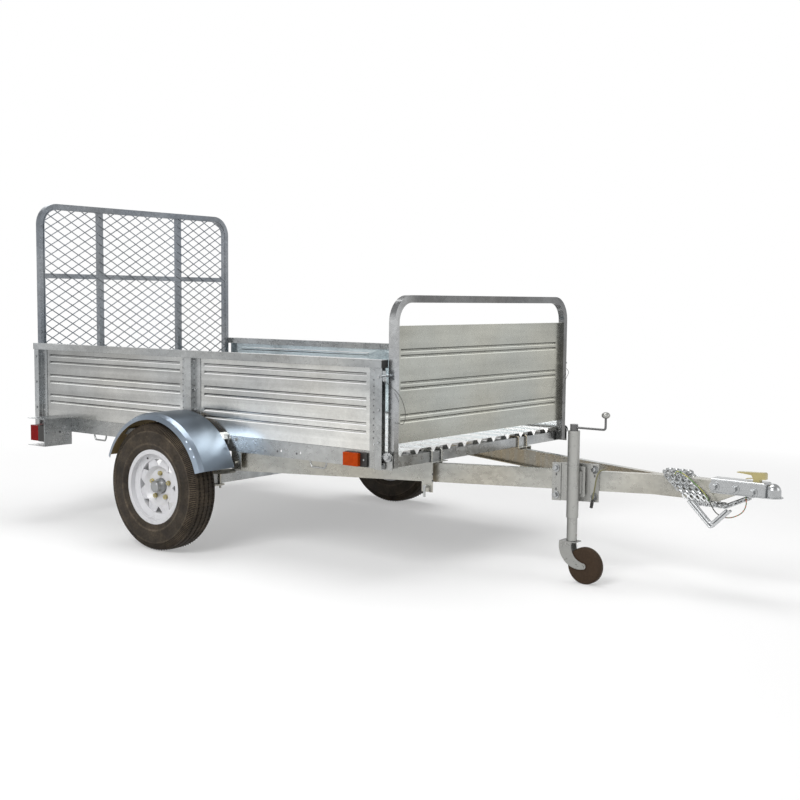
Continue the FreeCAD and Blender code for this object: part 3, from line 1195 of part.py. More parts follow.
def mesh_layer(ahead, lean):
    """One set of parallel slanting strands, with the edge strip that they end in."""
    lap, strand = N["mesh_lap"], N["mesh_strand"]
    half = float(GATE_WIDTH) / 2 - N["hoop_tube"] + lap
    low = float(GATE_PIVOT)
    top = N["gate_top"] - N["hoop_tube"] + lap
    corner = N["hoop_corner"] - N["hoop_tube"] + lap
    steps = 5

    def rounded_plate(inset):
        radius = corner - inset
        points = [(half - inset, low + inset)]
        for side, first in ((1, 0), (-1, 90)):
            for step in range(steps + 1):
                angle = math.radians(first + 90 * step / steps)
                points.append((side * (half - corner) + radius * math.cos(angle),
                               top - corner + radius * math.sin(angle)))
        return points + [(-half + inset, low + inset)]

    slope = math.atan2(N["mesh_tall"], N["mesh_wide"])
    across, up = -lean * math.sin(slope), math.cos(slope)
    pitch = N["mesh_wide"] * math.sin(slope)
    inner = rounded_plate(strand)
    reach = [across * left + up * height for left, height in inner]
    windows = []
    for index in range(int(min(reach) // pitch), int(max(reach) // pitch) + 1):
        near, far = index * pitch + strand / 2, (index + 1) * pitch - strand / 2
        window = clipped(clipped(inner, across, up, far), -across, -up, -near)
        if len(window) > 2:
            windows.append(window)
    area = lambda points: abs(sum(a[0] * b[1] - b[0] * a[1] for a, b in zip(points, points[1:] + points[:1]))) / 2

    def face(points):
        spots = [at(ahead, left, height) for left, height in points]
        return Part.Face(Part.makePolygon(spots + spots[:1]))

    holes = [face(window) for window in windows if area(window) > strand * strand]
    plate = face(rounded_plate(0)).cut(Part.makeCompound(holes))
    return plate.extrude(FreeCAD.Vector(N["mesh_gauge"], 0, 0))


def rear_gate_mesh():
    """Diamond mesh on the tailgate's front face: two crossing sets of strands, one laid on the other."""
    front = -N["bed_behind"]
    layers = [mesh_layer(front, 1), mesh_layer(front + N["mesh_gauge"], -1)]
    solids = [solid for layer in layers for solid in layer.Solids]
    shape_node("rear_gate_mesh", Part.makeCompound(solids))


# ------------------------------------------------------------------ drawbar

def beam_side(ahead):
    """Centre line to a drawbar side's outer face, at a distance ahead of the axle."""
    at_pivot = float(RAIL_FACE) - N["beam_inset"]
    return at_pivot - (ahead - N["pivot_ahead"]) * math.tan(BEAM_SPLAY)


def beam_plan(inset, start, end):
    """Plan of the right drawbar side at an inset from its outer face: rear end, bend and front end."""
    shift = inset / math.cos(BEAM_SPLAY)
    front = float(BEAM_HALF) - inset
    bend = N["pivot_ahead"] + (beam_side(N["pivot_ahead"]) - shift - front) / math.tan(BEAM_SPLAY)
    return [(start, -(beam_side(start) - shift)), (bend, -front), (end, -front)]


def drawbar_side(side, name):
    """Folded channel, back outwards, splayed from the coupler to the bed's tilt pivot."""
    tall, wide, wall = N["beam_tall"], N["beam_wide"], N["beam_wall"]
    middle, tail = float(BEAM_MIDDLE), N["pivot_tail"]
    start, end = N["pivot_ahead"] - tail, N["beam_end"]
    solids = []
    for near, far, height, past in ((0, wide, tall, 0), (wall, wide + wall, tall - 2 * wall, wide)):
        plan = beam_plan(near, start - past, end + past) + beam_plan(far, start - past, end + past)[::-1]
        corners = [at(ahead, left, middle - height / 2) for ahead, left in plan + plan[:1]]
        solids.append(Part.Face(Part.makePolygon(corners)).extrude(FreeCAD.Vector(0, 0, height)))
    beam = solids[0].cut(solids[1])
    outside = -beam_side(start) - wide
    corner = [at(start - 1, outside, middle + tall / 2 - tail), at(start - 1, outside, middle + tall / 2 + 1),
              at(start + tail, outside, middle + tall / 2 + 1)]
    chamfer = Part.Face(Part.makePolygon(corner + corner[:1])).extrude(FreeCAD.Vector(0, wide * 3, 0))
    hole = Part.makeCylinder(N["pivot_bolt"] / 2 + N["pin_gap"], wide * 4,
                             at(N["pivot_ahead"], outside - wide, middle), FreeCAD.Vector(0, 1, 0))
    under, heel = middle - tall / 2, end - N["beam_nose"]
    nose = [at(heel, -wide * 2, under), at(end, -wide * 2, N["coupler_floor"]),
            at(end + 1, -wide * 2, N["coupler_floor"]), at(end + 1, -wide * 2, under - 1),
            at(heel, -wide * 2, under - 1)]
    taper = Part.Face(Part.makePolygon(nose + nose[:1])).extrude(FreeCAD.Vector(0, wide * 3, 0))
    beam = beam.cut([chamfer, hole, taper])
    if side > 0:
        beam = beam.mirror(FreeCAD.Vector(0, 0, 0), FreeCAD.Vector(0, 1, 0))
    shape_node(f"drawbar_{name}", beam)


def tongue_pivots():
    """U-brackets under the side rails with the bolts that the bed tilts on."""
    middle, top = float(BEAM_MIDDLE), N["rail_floor"]
    ahead, gauge, long = N["pivot_ahead"], N["pivot_plate"], N["pivot_long"]
    low, outer = middle - N["pivot_below"], float(RAIL_FACE) + N["pivot_out"]
    inner = outer - N["pivot_span"]
    across = FreeCAD.Vector(0, 1, 0)
    brackets = []
    for side in (-1, 1):
        right = min(side * outer, side * inner)
        lid = Part.makeBox(long, outer - inner, gauge, at(ahead - long / 2, right, top - gauge))
        walls = [Part.makeBox(long, gauge, top - low, at(ahead - long / 2, start, low))
                 for start in (right, right + outer - inner - gauge)]
        past = N["pivot_bolt_past"]
        bolt = Part.makeCylinder(N["pivot_bolt"] / 2, outer - inner + 2 * past, at(ahead, right - past, middle), across)
        brackets.append(lid.fuse(walls + [bolt]).removeSplitter())
    shape_node("tongue_pivots", Part.makeCompound(brackets))


def tongue_saddles():
    """Plates under the front crossmember's U-bolts, each with a cheek outside the drawbar, and the pins
    that lock the tilt, drawn out."""
    ahead, top, gauge = N["bed_ahead"], N["rail_floor"], N["saddle_gauge"]
    start, long = ahead - N["saddle_behind"], N["saddle_long"]
    spread, radius = beam_side(start), N["saddle_rod"] / 2
    under, pin_up = N["beam_top"] - N["beam_tall"], N["beam_top"] - N["beam_tall"] - N["pull_pin_drop"]
    low = under - N["saddle_low"]
    cheek_in, lid_in = spread + N["saddle_out"], spread - N["saddle_in"]
    front, rear = ahead + radius + N["fit_gap"], ahead - N["cross_wide"] - radius - N["fit_gap"]
    crown, foot = float(CROSS_TOP) + radius, top - gauge - N["saddle_rod_past"]
    thin = N["saddle_lid"]
    saddles, pins = [], []
    for side in (-1, 1):
        out = FreeCAD.Vector(0, side, 0)
        lid = Part.makeBox(long, cheek_in - lid_in + gauge, thin,
                           at(start, min(side * lid_in, side * (cheek_in + gauge)), top - thin))
        cheek = Part.makeBox(long, gauge, top - low, at(start, min(side * cheek_in, side * (cheek_in + gauge)), low))
        bolts = []
        for across in (spread + N["saddle_bolt_out"], spread - N["saddle_bolt_in"]):
            points = [at(front, side * across, foot), at(front, side * across, crown),
                      at(rear, side * across, crown), at(rear, side * across, foot)]
            bolts.append(bent_rod(points, radius, radius * 1.2))
        hole = Part.makeCylinder(N["pull_pin"] / 2 + N["pin_gap"], N["saddle_out"] * 2,
                                 at(start + N["pull_pin_ahead"], side * spread, pin_up), out)
        ties = [Part.makeBox(N["cross_wide"] + 6 * radius, radius * 4, thin,
                             at(rear - radius * 2, side * across - radius * 2, top - thin))
                for across in (spread + N["saddle_bolt_out"], spread - N["saddle_bolt_in"])]
        saddles.append(lid.fuse([cheek] + ties + bolts).cut(hole).removeSplitter())
        pin_start = at(start + N["pull_pin_ahead"], side * (spread + N["pull_pin_start"]), pin_up)
        pin = Part.makeCylinder(N["pull_pin"] / 2, N["pull_pin_long"], pin_start, out)
        lever_out = side * (spread + N["pull_pin_start"] + N["pull_pin_long"] - gauge)
        lever = Part.makeBox(gauge * 2, gauge, N["pull_lever"],
                             at(start + N["pull_pin_ahead"] - gauge, min(lever_out, lever_out + side * gauge),
                                pin_up - N["pull_lever"]))
        pins.append(pin.fuse(lever).removeSplitter())
    shape_node("tongue_saddles", Part.makeCompound(saddles))
    shape_node("tilt_pins", Part.makeCompound(pins))


def soft_channel(start, front, half, low, top, radius):
    """A bar along the trailer with its two long top edges and the edges of its front end rounded."""
    bar = Part.makeBox(front - start, 2 * half, top - low, at(start, -half, low))
    edges = []
    for edge in bar.Edges:
        middle = edge.CenterOfMass - at(front, 0, top)
        over, ahead, beside = abs(middle.z) < SNAP, abs(middle.x) < SNAP, half - abs(middle.y) < SNAP
        if over + ahead + beside > 1:
            edges.append(edge)
    return bar.makeFillet(radius, edges)


def coupler():
    """Pressed coupler: a round-edged channel over the drawbar's nose, a domed ball socket, a flared edge."""
    gauge, ball, socket = N["coupler_gauge"], N["coupler_ball"], N["socket_radius"]
    half = float(BEAM_HALF) + N["coupler_gap"] + gauge
    low, top, start = N["coupler_floor"], N["coupler_top"], ball - N["coupler_tail"]
    dome, front, flare = socket + gauge, ball - N["coupler_neck"], N["coupler_flare"]
    crown, rounded = top - N["dome_drop"] - dome, N["coupler_round"]
    up = FreeCAD.Vector(0, 0, 1)
    shell = soft_channel(start, front, half, low, top, rounded)
    shell = shell.fuse([Part.makeCylinder(dome, crown - low, at(ball, 0, low), up),
                        Part.makeSphere(dome, at(ball, 0, crown), up, 0, 90, 360)])
    wide = half + flare
    corners = [at(start, -wide, low), at(front - flare, -wide, low), at(ball, -dome - N["coupler_lip"], low),
               at(ball, dome + N["coupler_lip"], low), at(front - flare, wide, low), at(start, wide, low)]
    edge = Part.Face(Part.makePolygon(corners + corners[:1])).extrude(up * gauge)
    shell = shell.fuse([edge, Part.makeCylinder(dome + N["coupler_lip"], gauge, at(ball, 0, low), up)])
    hollow = soft_channel(start - gauge, front - gauge, half - gauge, low - gauge, top - gauge,
                          rounded - gauge)
    bore = Part.makeCylinder(socket, crown - low + gauge, at(ball, 0, low - gauge), up)
    shell = shell.cut([hollow, bore, Part.makeSphere(socket, at(ball, 0, crown))])
    shape_node("coupler", shell.removeSplitter())


def coupler_latch():
    """Folded lever over the coupler, thin at its tail, with its foot on the coupler's roof."""
    gauge, wide = N["latch_gauge"], N["latch_wide"]
    nose = N["coupler_ball"] - N["latch_behind"]
    tail, low = nose - N["latch_long"], N["coupler_top"]
    base, top = low + N["latch_up"], low + N["latch_up"] + N["latch_tall"]

    def slab(spots, side, width):
        corners = [at(ahead, side, up) for ahead, up in spots + spots[:1]]
        return Part.Face(Part.makePolygon(corners)).extrude(FreeCAD.Vector(0, width, 0))

    heel = nose - N["latch_block"]
    thin, deep = top - gauge * 3, top - gauge * 5
    profile = [(tail, top - gauge * 2), (nose - gauge * 2, top), (nose, top - gauge * 2), (nose, base),
               (heel, base), (heel - gauge * 3, deep), (tail, thin)]
    lever = slab(profile, -wide / 2, wide)
    under = [(tail - gauge, top - gauge * 4), (tail - gauge, thin), (nose - gauge * 3, top - gauge),
             (nose - gauge, thin), (nose - gauge, base - gauge), (heel - gauge, base - gauge)]
    lever = lever.cut(slab(under, -wide / 2 + gauge, wide - gauge * 2))
    foot = Part.makeBox(wide, wide, base - low + gauge, at(heel, -wide / 2, low))
    tip = heel - N["trigger_long"]
    fall = base - N["trigger_fall"]
    tab = slab([(heel + gauge, base), (heel, base + gauge), (tip, fall + gauge), (tip, fall)],
               -wide / 2 + gauge, wide - gauge * 2)
    shape_node("coupler_latch", lever.fuse([foot, tab]).removeSplitter())


def chain_link(centre, along, across):
    """One flat-faced link: its long way, its wide way and its wire come from the chain's sizes."""
    normal = along.cross(across).normalize()
    wire = N["link_wire"]

    def ring(inset):
        reach, side = N["link_long"] / 2 - inset, N["link_wide"] / 2 - inset
        straight = N["link_long"] / 2 - N["link_point"] - inset / 2
        spots = [(reach, 0), (straight, side), (-straight, side), (-reach, 0), (-straight, -side),
                 (straight, -side)]
        points = [centre + along * a + across * b - normal * (wire / 2) for a, b in spots]
        return Part.Face(Part.makePolygon(points + points[:1])).extrude(normal * wire)

    return ring(0).cut(ring(wire))


def chain_loop(shift):
    """Centres, ways and rolls of the links of one turn, slantwise round the drawbar's nose."""
    middle, clear = float(BEAM_MIDDLE), N["link_wide"] / 2 + N["chain_clear"]
    half_wide, half_tall = float(BEAM_HALF) + clear, N["beam_tall"] / 2 + clear
    steps = 720
    spots = []
    for step in range(steps):
        angle = 2 * math.pi * step / steps
        cos, sin = math.cos(angle), math.sin(angle)
        bulge = (abs(cos) ** 4 + abs(sin) ** 4) ** 0.25
        left, up = half_wide * cos / bulge, half_tall * sin / bulge
        spots.append(at(N["chain_ahead"] + shift - up * N["chain_slant"], left, middle + up))
    lengths = [0.0]
    for before, after in zip(spots, spots[1:] + spots[:1]):
        lengths.append(lengths[-1] + (after - before).Length)
    count = 2 * round(lengths[-1] / (N["link_long"] - N["link_wire"] * 2) / 2)
    core = at(N["chain_ahead"] + shift, 0, middle)
    loop = []
    for index in range(count):
        step = next(i for i, length in enumerate(lengths) if length >= lengths[-1] * index / count) % steps
        along = (spots[(step + 3) % steps] - spots[step - 3]).normalize()
        out = FreeCAD.Vector(0, spots[step].y - core.y, spots[step].z - core.z)
        out = (out - along * out.dot(along)).normalize()
        flat = along.cross(out).normalize()
        roll = 1 if index % 2 else -1
        loop.append((spots[step], along, (out + flat * roll).normalize()))
    return loop


def chain_run(side):
    """Links of one chain's end, from the turns forward along the drawbar's taper to the coupler."""
    pitch = N["link_long"] - N["link_wire"] * 2
    drop = N["link_wide"] / 2 + N["chain_clear"]
    low = N["beam_top"] - N["beam_tall"] - drop
    start = N["chain_ahead"] + (N["chain_turns"] - 1) * N["chain_lead"] + N["chain_slant"] * (
        N["beam_tall"] / 2 + drop) + pitch
    left = side * N["chain_run"]
    corner = at(N["beam_end"] - N["beam_nose"] + pitch, left, low)
    end = at(N["beam_end"] + pitch * 2, left, N["coupler_floor"] - N["link_wide"] / 2)
    spots = [at(start, left, low)]
    for goal in (corner, end):
        way = (goal - spots[-1]).normalize()
        while (goal - spots[-1]).dot(way) > pitch / 2:
            spots.append(spots[-1] + way * pitch)
    links = []
    for index, (before, after) in enumerate(zip(spots, spots[1:])):
        along = (after - before).normalize()
        out = along.cross(FreeCAD.Vector(0, 1, 0)).normalize()
        flat = along.cross(out).normalize()
        roll = 1 if index % 2 else -1
        links.append(chain_link(before, along, (out + flat * roll).normalize()))
    return links


def safety_chains():
    """Two chains wound slantwise round the drawbar's nose, their ends run forward to the coupler."""
    links = []
    for turn_index in range(int(N["chain_turns"])):
        for centre, along, across in chain_loop(turn_index * N["chain_lead"]):
            links.append(chain_link(centre, along, across))
    for side in (-1, 1):
        links += chain_run(side)
    shape_node("safety_chains", Part.makeCompound(links))


def hook_rods():
    """Bent rods nested two deep and two wide that hang below the drawbar's nose, tucked in the chain."""
    low = N["hook_top"] - N["hook_rear_drop"]
    step = N["hook_rod"] + N["fit_gap"]
    rods = []
    for across in (0, step):
        for inside in (0, step * math.sqrt(2)):
            left, start = -N["hook_side"] - across, N["hook_ahead"] + inside
            bend, floor = start + N["hook_rear_drop"] - inside, low + inside
            end = bend + N["hook_front_rise"] - inside
            points = [at(start, left, N["hook_top"]), at(bend, left, floor),
                      at(end, left, floor + N["hook_front_rise"] - inside)]
            rods.append(bent_rod(points, N["hook_rod"] / 2, N["hook_rod"]))
    shape_node("hook_rods", Part.makeCompound(rods))


def cord_tube(points, diameter):
    """A cord as straight runs joined by arcs as large as the runs allow; prints what a maker checks."""
    edges, radii = [], []
    last = points[0]
    for before, corner, after in zip(points, points[1:], points[2:]):
        into, out = corner - before, after - corner
        shorter = min(into.Length, out.Length)
        into.normalize()
        out.normalize()
        half = into.getAngle(out) / 2
        radius = 0.45 * shorter / math.tan(half)
        radii.append(radius)
        start, end = corner - into * 0.45 * shorter, corner + out * 0.45 * shorter
        middle = corner + (out - into).normalize() * (radius / math.cos(half) - radius)
        edges += [Part.LineSegment(last, start).toShape(), Part.Arc(start, middle, end).toShape()]
        last = end
    edges.append(Part.LineSegment(last, points[-1]).toShape())
    route = Part.Wire(edges)
    ring = Part.Wire(Part.makeCircle(diameter / 2, points[0], points[1] - points[0]))
    cord = route.makePipeShell([ring], True, False)
    section = math.pi * diameter ** 2 / 4
    print("cord length", round(route.Length, 1), "radii", [round(radius) for radius in radii],
          "volume ratio", round(cord.Volume / (section * route.Length), 4))
    return cord


# From bend to bend of the wiring lead: forward, left and up.
LEAD_STEPS = [(-3, -24, 2), (-4, -20, -12), (-2, -10, -23), (-2, -4, -27), (-5, -1, -28), (-4, -1, -28)]


def wiring():
    """The wiring lead out of the drawbar and the connector that hangs on it beside the jack."""
    ahead = N["lead_ahead"]
    points = [at(ahead, N["lead_in"] - beam_side(ahead), N["beam_top"] + N["lead_up"])]
    for step in LEAD_STEPS:
        points.append(points[-1] + FreeCAD.Vector(*step))
    shape_node("wiring_lead", cord_tube(points, N["lead_bore"]))
    plug = Part.makeCylinder(N["plug_bore"] / 2, N["plug_long"], points[-1], points[-1] - points[-2])
    shape_node("lead_connector", plug)


# ------------------------------------------------------------------ jack

def jack_swivel():
    """The jack's spot on its swing pivot, the way along the drawbar and the way square to it."""
    ahead = N["jack_ahead"]
    spot = at(ahead, -beam_side(ahead) - N["jack_out"], N["jack_pivot"])
    square = FreeCAD.Vector(-math.sin(BEAM_SPLAY), math.cos(BEAM_SPLAY), 0)
    return spot, FreeCAD.Vector(square.y, -square.x, 0), square


def swivel_plate(width, tall, near, far, shift, drop=0):
    """A block square to the drawbar's face, between two distances towards it from the jack."""
    spot, along, square = jack_swivel()
    start = spot + along * (shift - width / 2) + square * near - FreeCAD.Vector(0, 0, tall / 2 + drop)
    ends = [start, start + along * width, start + along * width + square * (far - near),
            start + square * (far - near)]
    return Part.Face(Part.makePolygon(ends + ends[:1])).extrude(FreeCAD.Vector(0, 0, tall))


def jack_parts():
    """Jack tube on its swivel, the bracket that carries it, the crank and the inner tube."""
    spot, along, square = jack_swivel()
    ahead, side = N["jack_ahead"], spot.y
    up = FreeCAD.Vector(0, 0, 1)
    outer, ram, wall = N["jack_tube_bore"] / 2, N["jack_ram_bore"] / 2, N["jack_tube_wall"]
    low, top, ram_low = N["jack_tube_low"], N["jack_tube_top"], N["jack_ram_low"]
    plate, gap = N["mount_plate"], N["mount_gap"]
    face = outer + N["swivel_reach"]
    reach = N["jack_out"] * math.cos(BEAM_SPLAY)
    pin = N["swivel_pin"] / 2
    tube_solid = Part.makeCylinder(outer, top - low, at(ahead, side, low), up)
    tube_solid = tube_solid.fuse(swivel_plate(N["swivel_wide"], N["swivel_tall"], outer - N["swivel_sink"], face, 0))
    tube_solid = tube_solid.fuse(Part.makeCylinder(pin, gap + plate * 2, spot + square * face, square))
    hollow = Part.makeCylinder(outer - wall, top - low - wall, at(ahead, side, low - wall), up)
    shape_node("jack_tube", tube_solid.cut(hollow).removeSplitter())
    front, back = face + gap, reach - plate - gap
    mount = swivel_plate(N["mount_wide"], N["mount_tall"], front, front + plate, 0)
    ribs = [swivel_plate(plate, N["mount_tall"], front + plate, back, end * N["mount_rib_side"]) for end in (-1, 1)]
    drop, strap = N["clamp_plate_drop"], N["clamp_strap"]
    clamp = [swivel_plate(N["clamp_plate_long"], N["clamp_plate_tall"], back, back + plate, 0, drop)]
    for end in (-1, 1):
        shift = end * (N["clamp_plate_long"] - strap) / 2
        clamp.append(swivel_plate(strap, N["clamp_plate_tall"], back - N["clamp_strap_deep"], back, shift, drop))
    hole = Part.makeCylinder(pin + N["pin_gap"], plate + gap * 2, spot + square * (front - gap), square)
    shape_node("jack_bracket", mount.fuse(ribs + clamp).cut(hole).removeSplitter())
    arm_up, rod_radius = top + N["jack_cap_tall"] / 2, N["crank_rod"] / 2
    end = ahead + N["crank_reach"]
    cap = Part.makeCylinder(N["jack_cap"], N["jack_cap_tall"], at(ahead, side, top), up)
    points = [at(ahead, side, arm_up), at(end, side, arm_up), at(end, side, arm_up + N["crank_rise"])]
    handle = bent_rod(points, rod_radius, N["crank_rod"])
    knob = Part.makeSphere(N["crank_knob"], points[-1])
    shape_node("jack_crank", cap.fuse([handle, knob]).removeSplitter())
    ram_solid = Part.makeCylinder(ram, N["jack_ram_long"], at(ahead, side, ram_low), up)
    hollow = Part.makeCylinder(ram - wall, N["jack_ram_long"], at(ahead, side, ram_low + wall), up)
    shape_node("jack_leg", ram_solid.cut(hollow))


def caster():
    """The jack's trailing wheel in its fork."""
    side = jack_swivel()[0].y
    ahead, low, gap = N["jack_ahead"], N["jack_ram_low"] - N["mount_gap"], N["fork_gauge"]
    radius, width, toe = N["caster_radius"], N["caster_width"], N["fork_toe"]
    hub = ahead + N["caster_trail"]
    across = FreeCAD.Vector(0, 1, 0)
    inner = width / 2 + N["caster_gap"]
    behind, root = ahead - N["fork_behind"], ahead + N["fork_root"]
    cheeks = []
    for start in (side - inner - gap, side + inner):
        first, last = at(behind, start, low), at(root, start, low)
        hip = at(ahead - N["fork_hip"], start, radius + N["fork_hip_up"])
        waist = at(ahead + N["fork_waist"], start, radius + N["fork_waist_up"])
        rear = Part.Arc(at(hub, start, radius - toe), hip, first)
        fore = Part.Arc(last, waist, at(hub, start, radius + toe))
        nose = Part.Arc(at(hub, start, radius + toe), at(hub + toe, start, radius), at(hub, start, radius - toe))
        edges = [fore.toShape(), nose.toShape(), rear.toShape(), Part.LineSegment(first, last).toShape()]
        cheeks.append(Part.Face(Part.Wire(edges)).extrude(across * gap))
    crown = Part.makeBox(N["fork_behind"] + N["fork_ahead"], 2 * (inner + gap), gap,
                         at(behind, side - inner - gap, low - gap))
    past = inner + gap + N["fork_pin"] / 2
    pin = Part.makeCylinder(N["fork_pin"] / 2, 2 * past, at(hub, side - past, radius), across)
    shape_node("caster_fork", crown.fuse(cheeks + [pin]).removeSplitter())
    centre, rounded = at(hub, side, radius), N["caster_round"]
    bore = N["fork_pin"] / 2 + N["pin_gap"]
    profile = [(-width / 2, bore), (-width / 2, radius - rounded), (-width / 2 + rounded, radius),
               (width / 2 - rounded, radius), (width / 2, radius - rounded), (width / 2, bore)]
    spots = [centre + across * left + FreeCAD.Vector(0, 0, out) for left, out in profile + profile[:1]]
    shape_node("jack_wheel", Part.Face(Part.makePolygon(spots)).revolve(centre, across, 360))


side_rails()
crossmembers()
deck_sheet()
posts()
top_rails()
rail_plugs()
side_panels()
tie_loops()
side_markers()
tail_lamps()
axle_beam()
leaf_springs()
spring_hangers()
spring_clamps()
wheel(-1, "right")
wheel(1, "left")
fender(-1, "right")
fender(1, "left")
fender_brackets()
front_gate_hinges()
front_gate_latches()
rear_gate_hinges()
front_gate()
rear_gate()
rear_gate_mesh()
drawbar_side(-1, "right")
drawbar_side(1, "left")
tongue_pivots()
tongue_saddles()
coupler()
coupler_latch()
safety_chains()
hook_rods()
wiring()
jack_parts()
caster()

doc.recompute()
for thing in doc.Objects:
    if "Invalid" in thing.State or "Error" in thing.State:
        raise RuntimeError(f"{thing.Name} failed: {thing.State}")
os.makedirs("parts", exist_ok=True)
for part in nodes:
    if part.Shape.isNull() or not part.Shape.isValid() or not part.Shape.Solids:
        raise RuntimeError(f"{part.Label} has no valid solid")
for part in nodes:
    part.Shape.exportStep(f"parts/{part.Label}.step")
    print(part.Label, len(part.Shape.Solids), "solids,", round(part.Shape.Volume / 1e3, 1), "cm3")
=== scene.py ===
"""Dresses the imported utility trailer: its finishes, tyres, fastenings, cords and stage."""

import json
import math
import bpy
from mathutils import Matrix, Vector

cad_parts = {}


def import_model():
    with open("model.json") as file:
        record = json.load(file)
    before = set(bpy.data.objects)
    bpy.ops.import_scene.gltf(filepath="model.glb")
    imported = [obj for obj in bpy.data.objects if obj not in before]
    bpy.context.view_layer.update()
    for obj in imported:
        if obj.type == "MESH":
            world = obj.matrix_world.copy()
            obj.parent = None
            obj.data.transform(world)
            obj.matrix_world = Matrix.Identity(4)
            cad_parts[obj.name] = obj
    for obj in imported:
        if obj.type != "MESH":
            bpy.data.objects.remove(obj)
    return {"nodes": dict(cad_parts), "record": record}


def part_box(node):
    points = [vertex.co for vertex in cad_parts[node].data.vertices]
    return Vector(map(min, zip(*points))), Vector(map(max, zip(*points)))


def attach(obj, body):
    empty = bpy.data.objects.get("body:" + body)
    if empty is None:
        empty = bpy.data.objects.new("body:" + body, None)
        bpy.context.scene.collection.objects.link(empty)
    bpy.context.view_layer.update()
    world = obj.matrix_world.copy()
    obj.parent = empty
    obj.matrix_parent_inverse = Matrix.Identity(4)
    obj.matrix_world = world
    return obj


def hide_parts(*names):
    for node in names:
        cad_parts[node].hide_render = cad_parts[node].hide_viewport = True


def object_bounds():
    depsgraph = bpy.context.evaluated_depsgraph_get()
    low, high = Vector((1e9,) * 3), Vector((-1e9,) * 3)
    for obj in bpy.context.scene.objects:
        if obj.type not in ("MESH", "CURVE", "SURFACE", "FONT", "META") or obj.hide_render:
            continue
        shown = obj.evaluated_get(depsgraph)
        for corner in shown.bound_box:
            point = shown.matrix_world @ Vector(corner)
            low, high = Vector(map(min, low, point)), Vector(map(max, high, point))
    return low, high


bl_info = {
    "name": "Utility Trailer",
    "version": (1, 0, 0),
    "blender": (4, 5, 0),
    "location": "3D View > Sidebar > Trailer",
    "description": "Finishes and small parts of a galvanised tilt-bed utility trailer",
    "category": "Object",
}

from itertools import product

import bmesh
import bpy
from bpy.props import FloatProperty, FloatVectorProperty, IntProperty, PointerProperty
from mathutils import Matrix, Vector
from mathutils.bvhtree import BVHTree

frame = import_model()
NODES = frame["nodes"]
CAD_BOX = [list(corner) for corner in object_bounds()]
RIGHT, LEFT = -1, 1
SIDE_NAMES = {RIGHT: "right", LEFT: "left"}
MERGE = 1e-6
UNDOABLE = {"REGISTER", "UNDO"}


def middle(node):
    """The middle of a node's box at rest."""
    low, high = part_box(node)
    return (Vector(low) + Vector(high)) / 2


def corners(node):
    """The lowest and highest corner of a node at rest."""
    low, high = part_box(node)
    return Vector(low), Vector(high)


AXLE = middle("axle_beam")


def by_axle(ahead, left, up):
    """A place by its distance ahead of the axle, left of the middle and above the floor."""
    return Vector((AXLE.x + ahead, left, up))


def sized(name, description, default, low, high):
    return FloatProperty(
        name=name, description=description, default=default, min=low, max=high, unit="LENGTH", precision=4
    )


def tinted(name, description, default):
    return FloatVectorProperty(
        name=name, description=description, default=default, size=3, min=0, max=1, subtype="COLOR"
    )


class TrailerSizes(bpy.types.PropertyGroup):
    """The sizes of the small parts."""

    tread_depth: sized("Tread depth", "Depth of the grooves round the tyre", 0.005, 0.001, 0.012)
    sipe_depth: sized("Sipe depth", "Depth of the notches across the shoulders", 0.005, 0.0005, 0.008)
    tread_steps: IntProperty(
        name="Tread steps", description="Steps round the tyre, two for each notch", default=416, min=64, max=640
    )
    wheel_nut: sized("Wheel nut", "Width of a wheel nut across its flats", 0.019, 0.012, 0.03)
    bolt_head: sized("Bolt head", "Width of a frame bolt across its flats", 0.016, 0.008, 0.03)
    wire_bore: sized("Wire", "Diameter of the thin wires at the coupler", 0.004, 0.002, 0.008)
    lanyard_bore: sized("Lanyard", "Diameter of the pin lanyards", 0.0022, 0.001, 0.005)


class TrailerColours(bpy.types.PropertyGroup):
    """The colours of the finishes, as linear light."""

    sheet: tinted("Sheet", "Galvanised side and front sheets", (0.47, 0.475, 0.47))
    front: tinted("Front sheet", "Galvanised sheet of the front gate", (0.415, 0.42, 0.385))
    deck: tinted("Deck", "Ribbed deck sheet", (0.94, 0.94, 0.93))
    section: tinted("Section", "Galvanised rails, posts and brackets", (0.36, 0.37, 0.375))
    hoop: tinted("Hoop", "Galvanised tube of the front gate", (0.26, 0.265, 0.27))
    fender: tinted("Fender", "Galvanised wheel fenders", (0.235, 0.28, 0.335))
    gate: tinted("Gate", "Tailgate frame and mesh", (0.22, 0.235, 0.255))
    drawbar: tinted("Drawbar", "Drawbar beams and their pivots", (0.40, 0.395, 0.37))
    zinc: tinted("Bright zinc", "Coupler and bolts", (0.44, 0.45, 0.455))
    gold: tinted("Yellow zinc", "Wheel nuts and coupler lever", (0.46, 0.40, 0.19))
    steel: tinted("Dark zinc", "Crank of the jack", (0.15, 0.15, 0.15))
    silver: tinted("Silver paint", "Jack", (0.31, 0.31, 0.295))
    enamel: tinted("White enamel", "Wheel rims", (0.72, 0.72, 0.74))
    rubber: tinted("Rubber", "Tyres", (0.030, 0.024, 0.019))
    caster: tinted("Caster rubber", "Jack wheel", (0.042, 0.026, 0.016))
    plastic: tinted("Plastic", "Lamp bases and plugs", (0.016, 0.015, 0.014))
    amber: tinted("Amber", "Side marker lenses", (0.50, 0.060, 0.006))
    red: tinted("Red", "Tail lamp lenses", (0.26, 0.006, 0.006))
    sheath: tinted("Sheath", "Wiring lead", (0.20, 0.19, 0.10))
    green: tinted("Green wire", "Earth wire", (0.12, 0.26, 0.06))
    orange: tinted("Orange wire", "Lamp wire", (0.45, 0.12, 0.04))
    lanyard: tinted("Lanyard wire", "Lanyards of the front gate's pins", (0.05, 0.05, 0.045))
    floor: tinted("Floor", "Studio floor", (0.62, 0.62, 0.62))


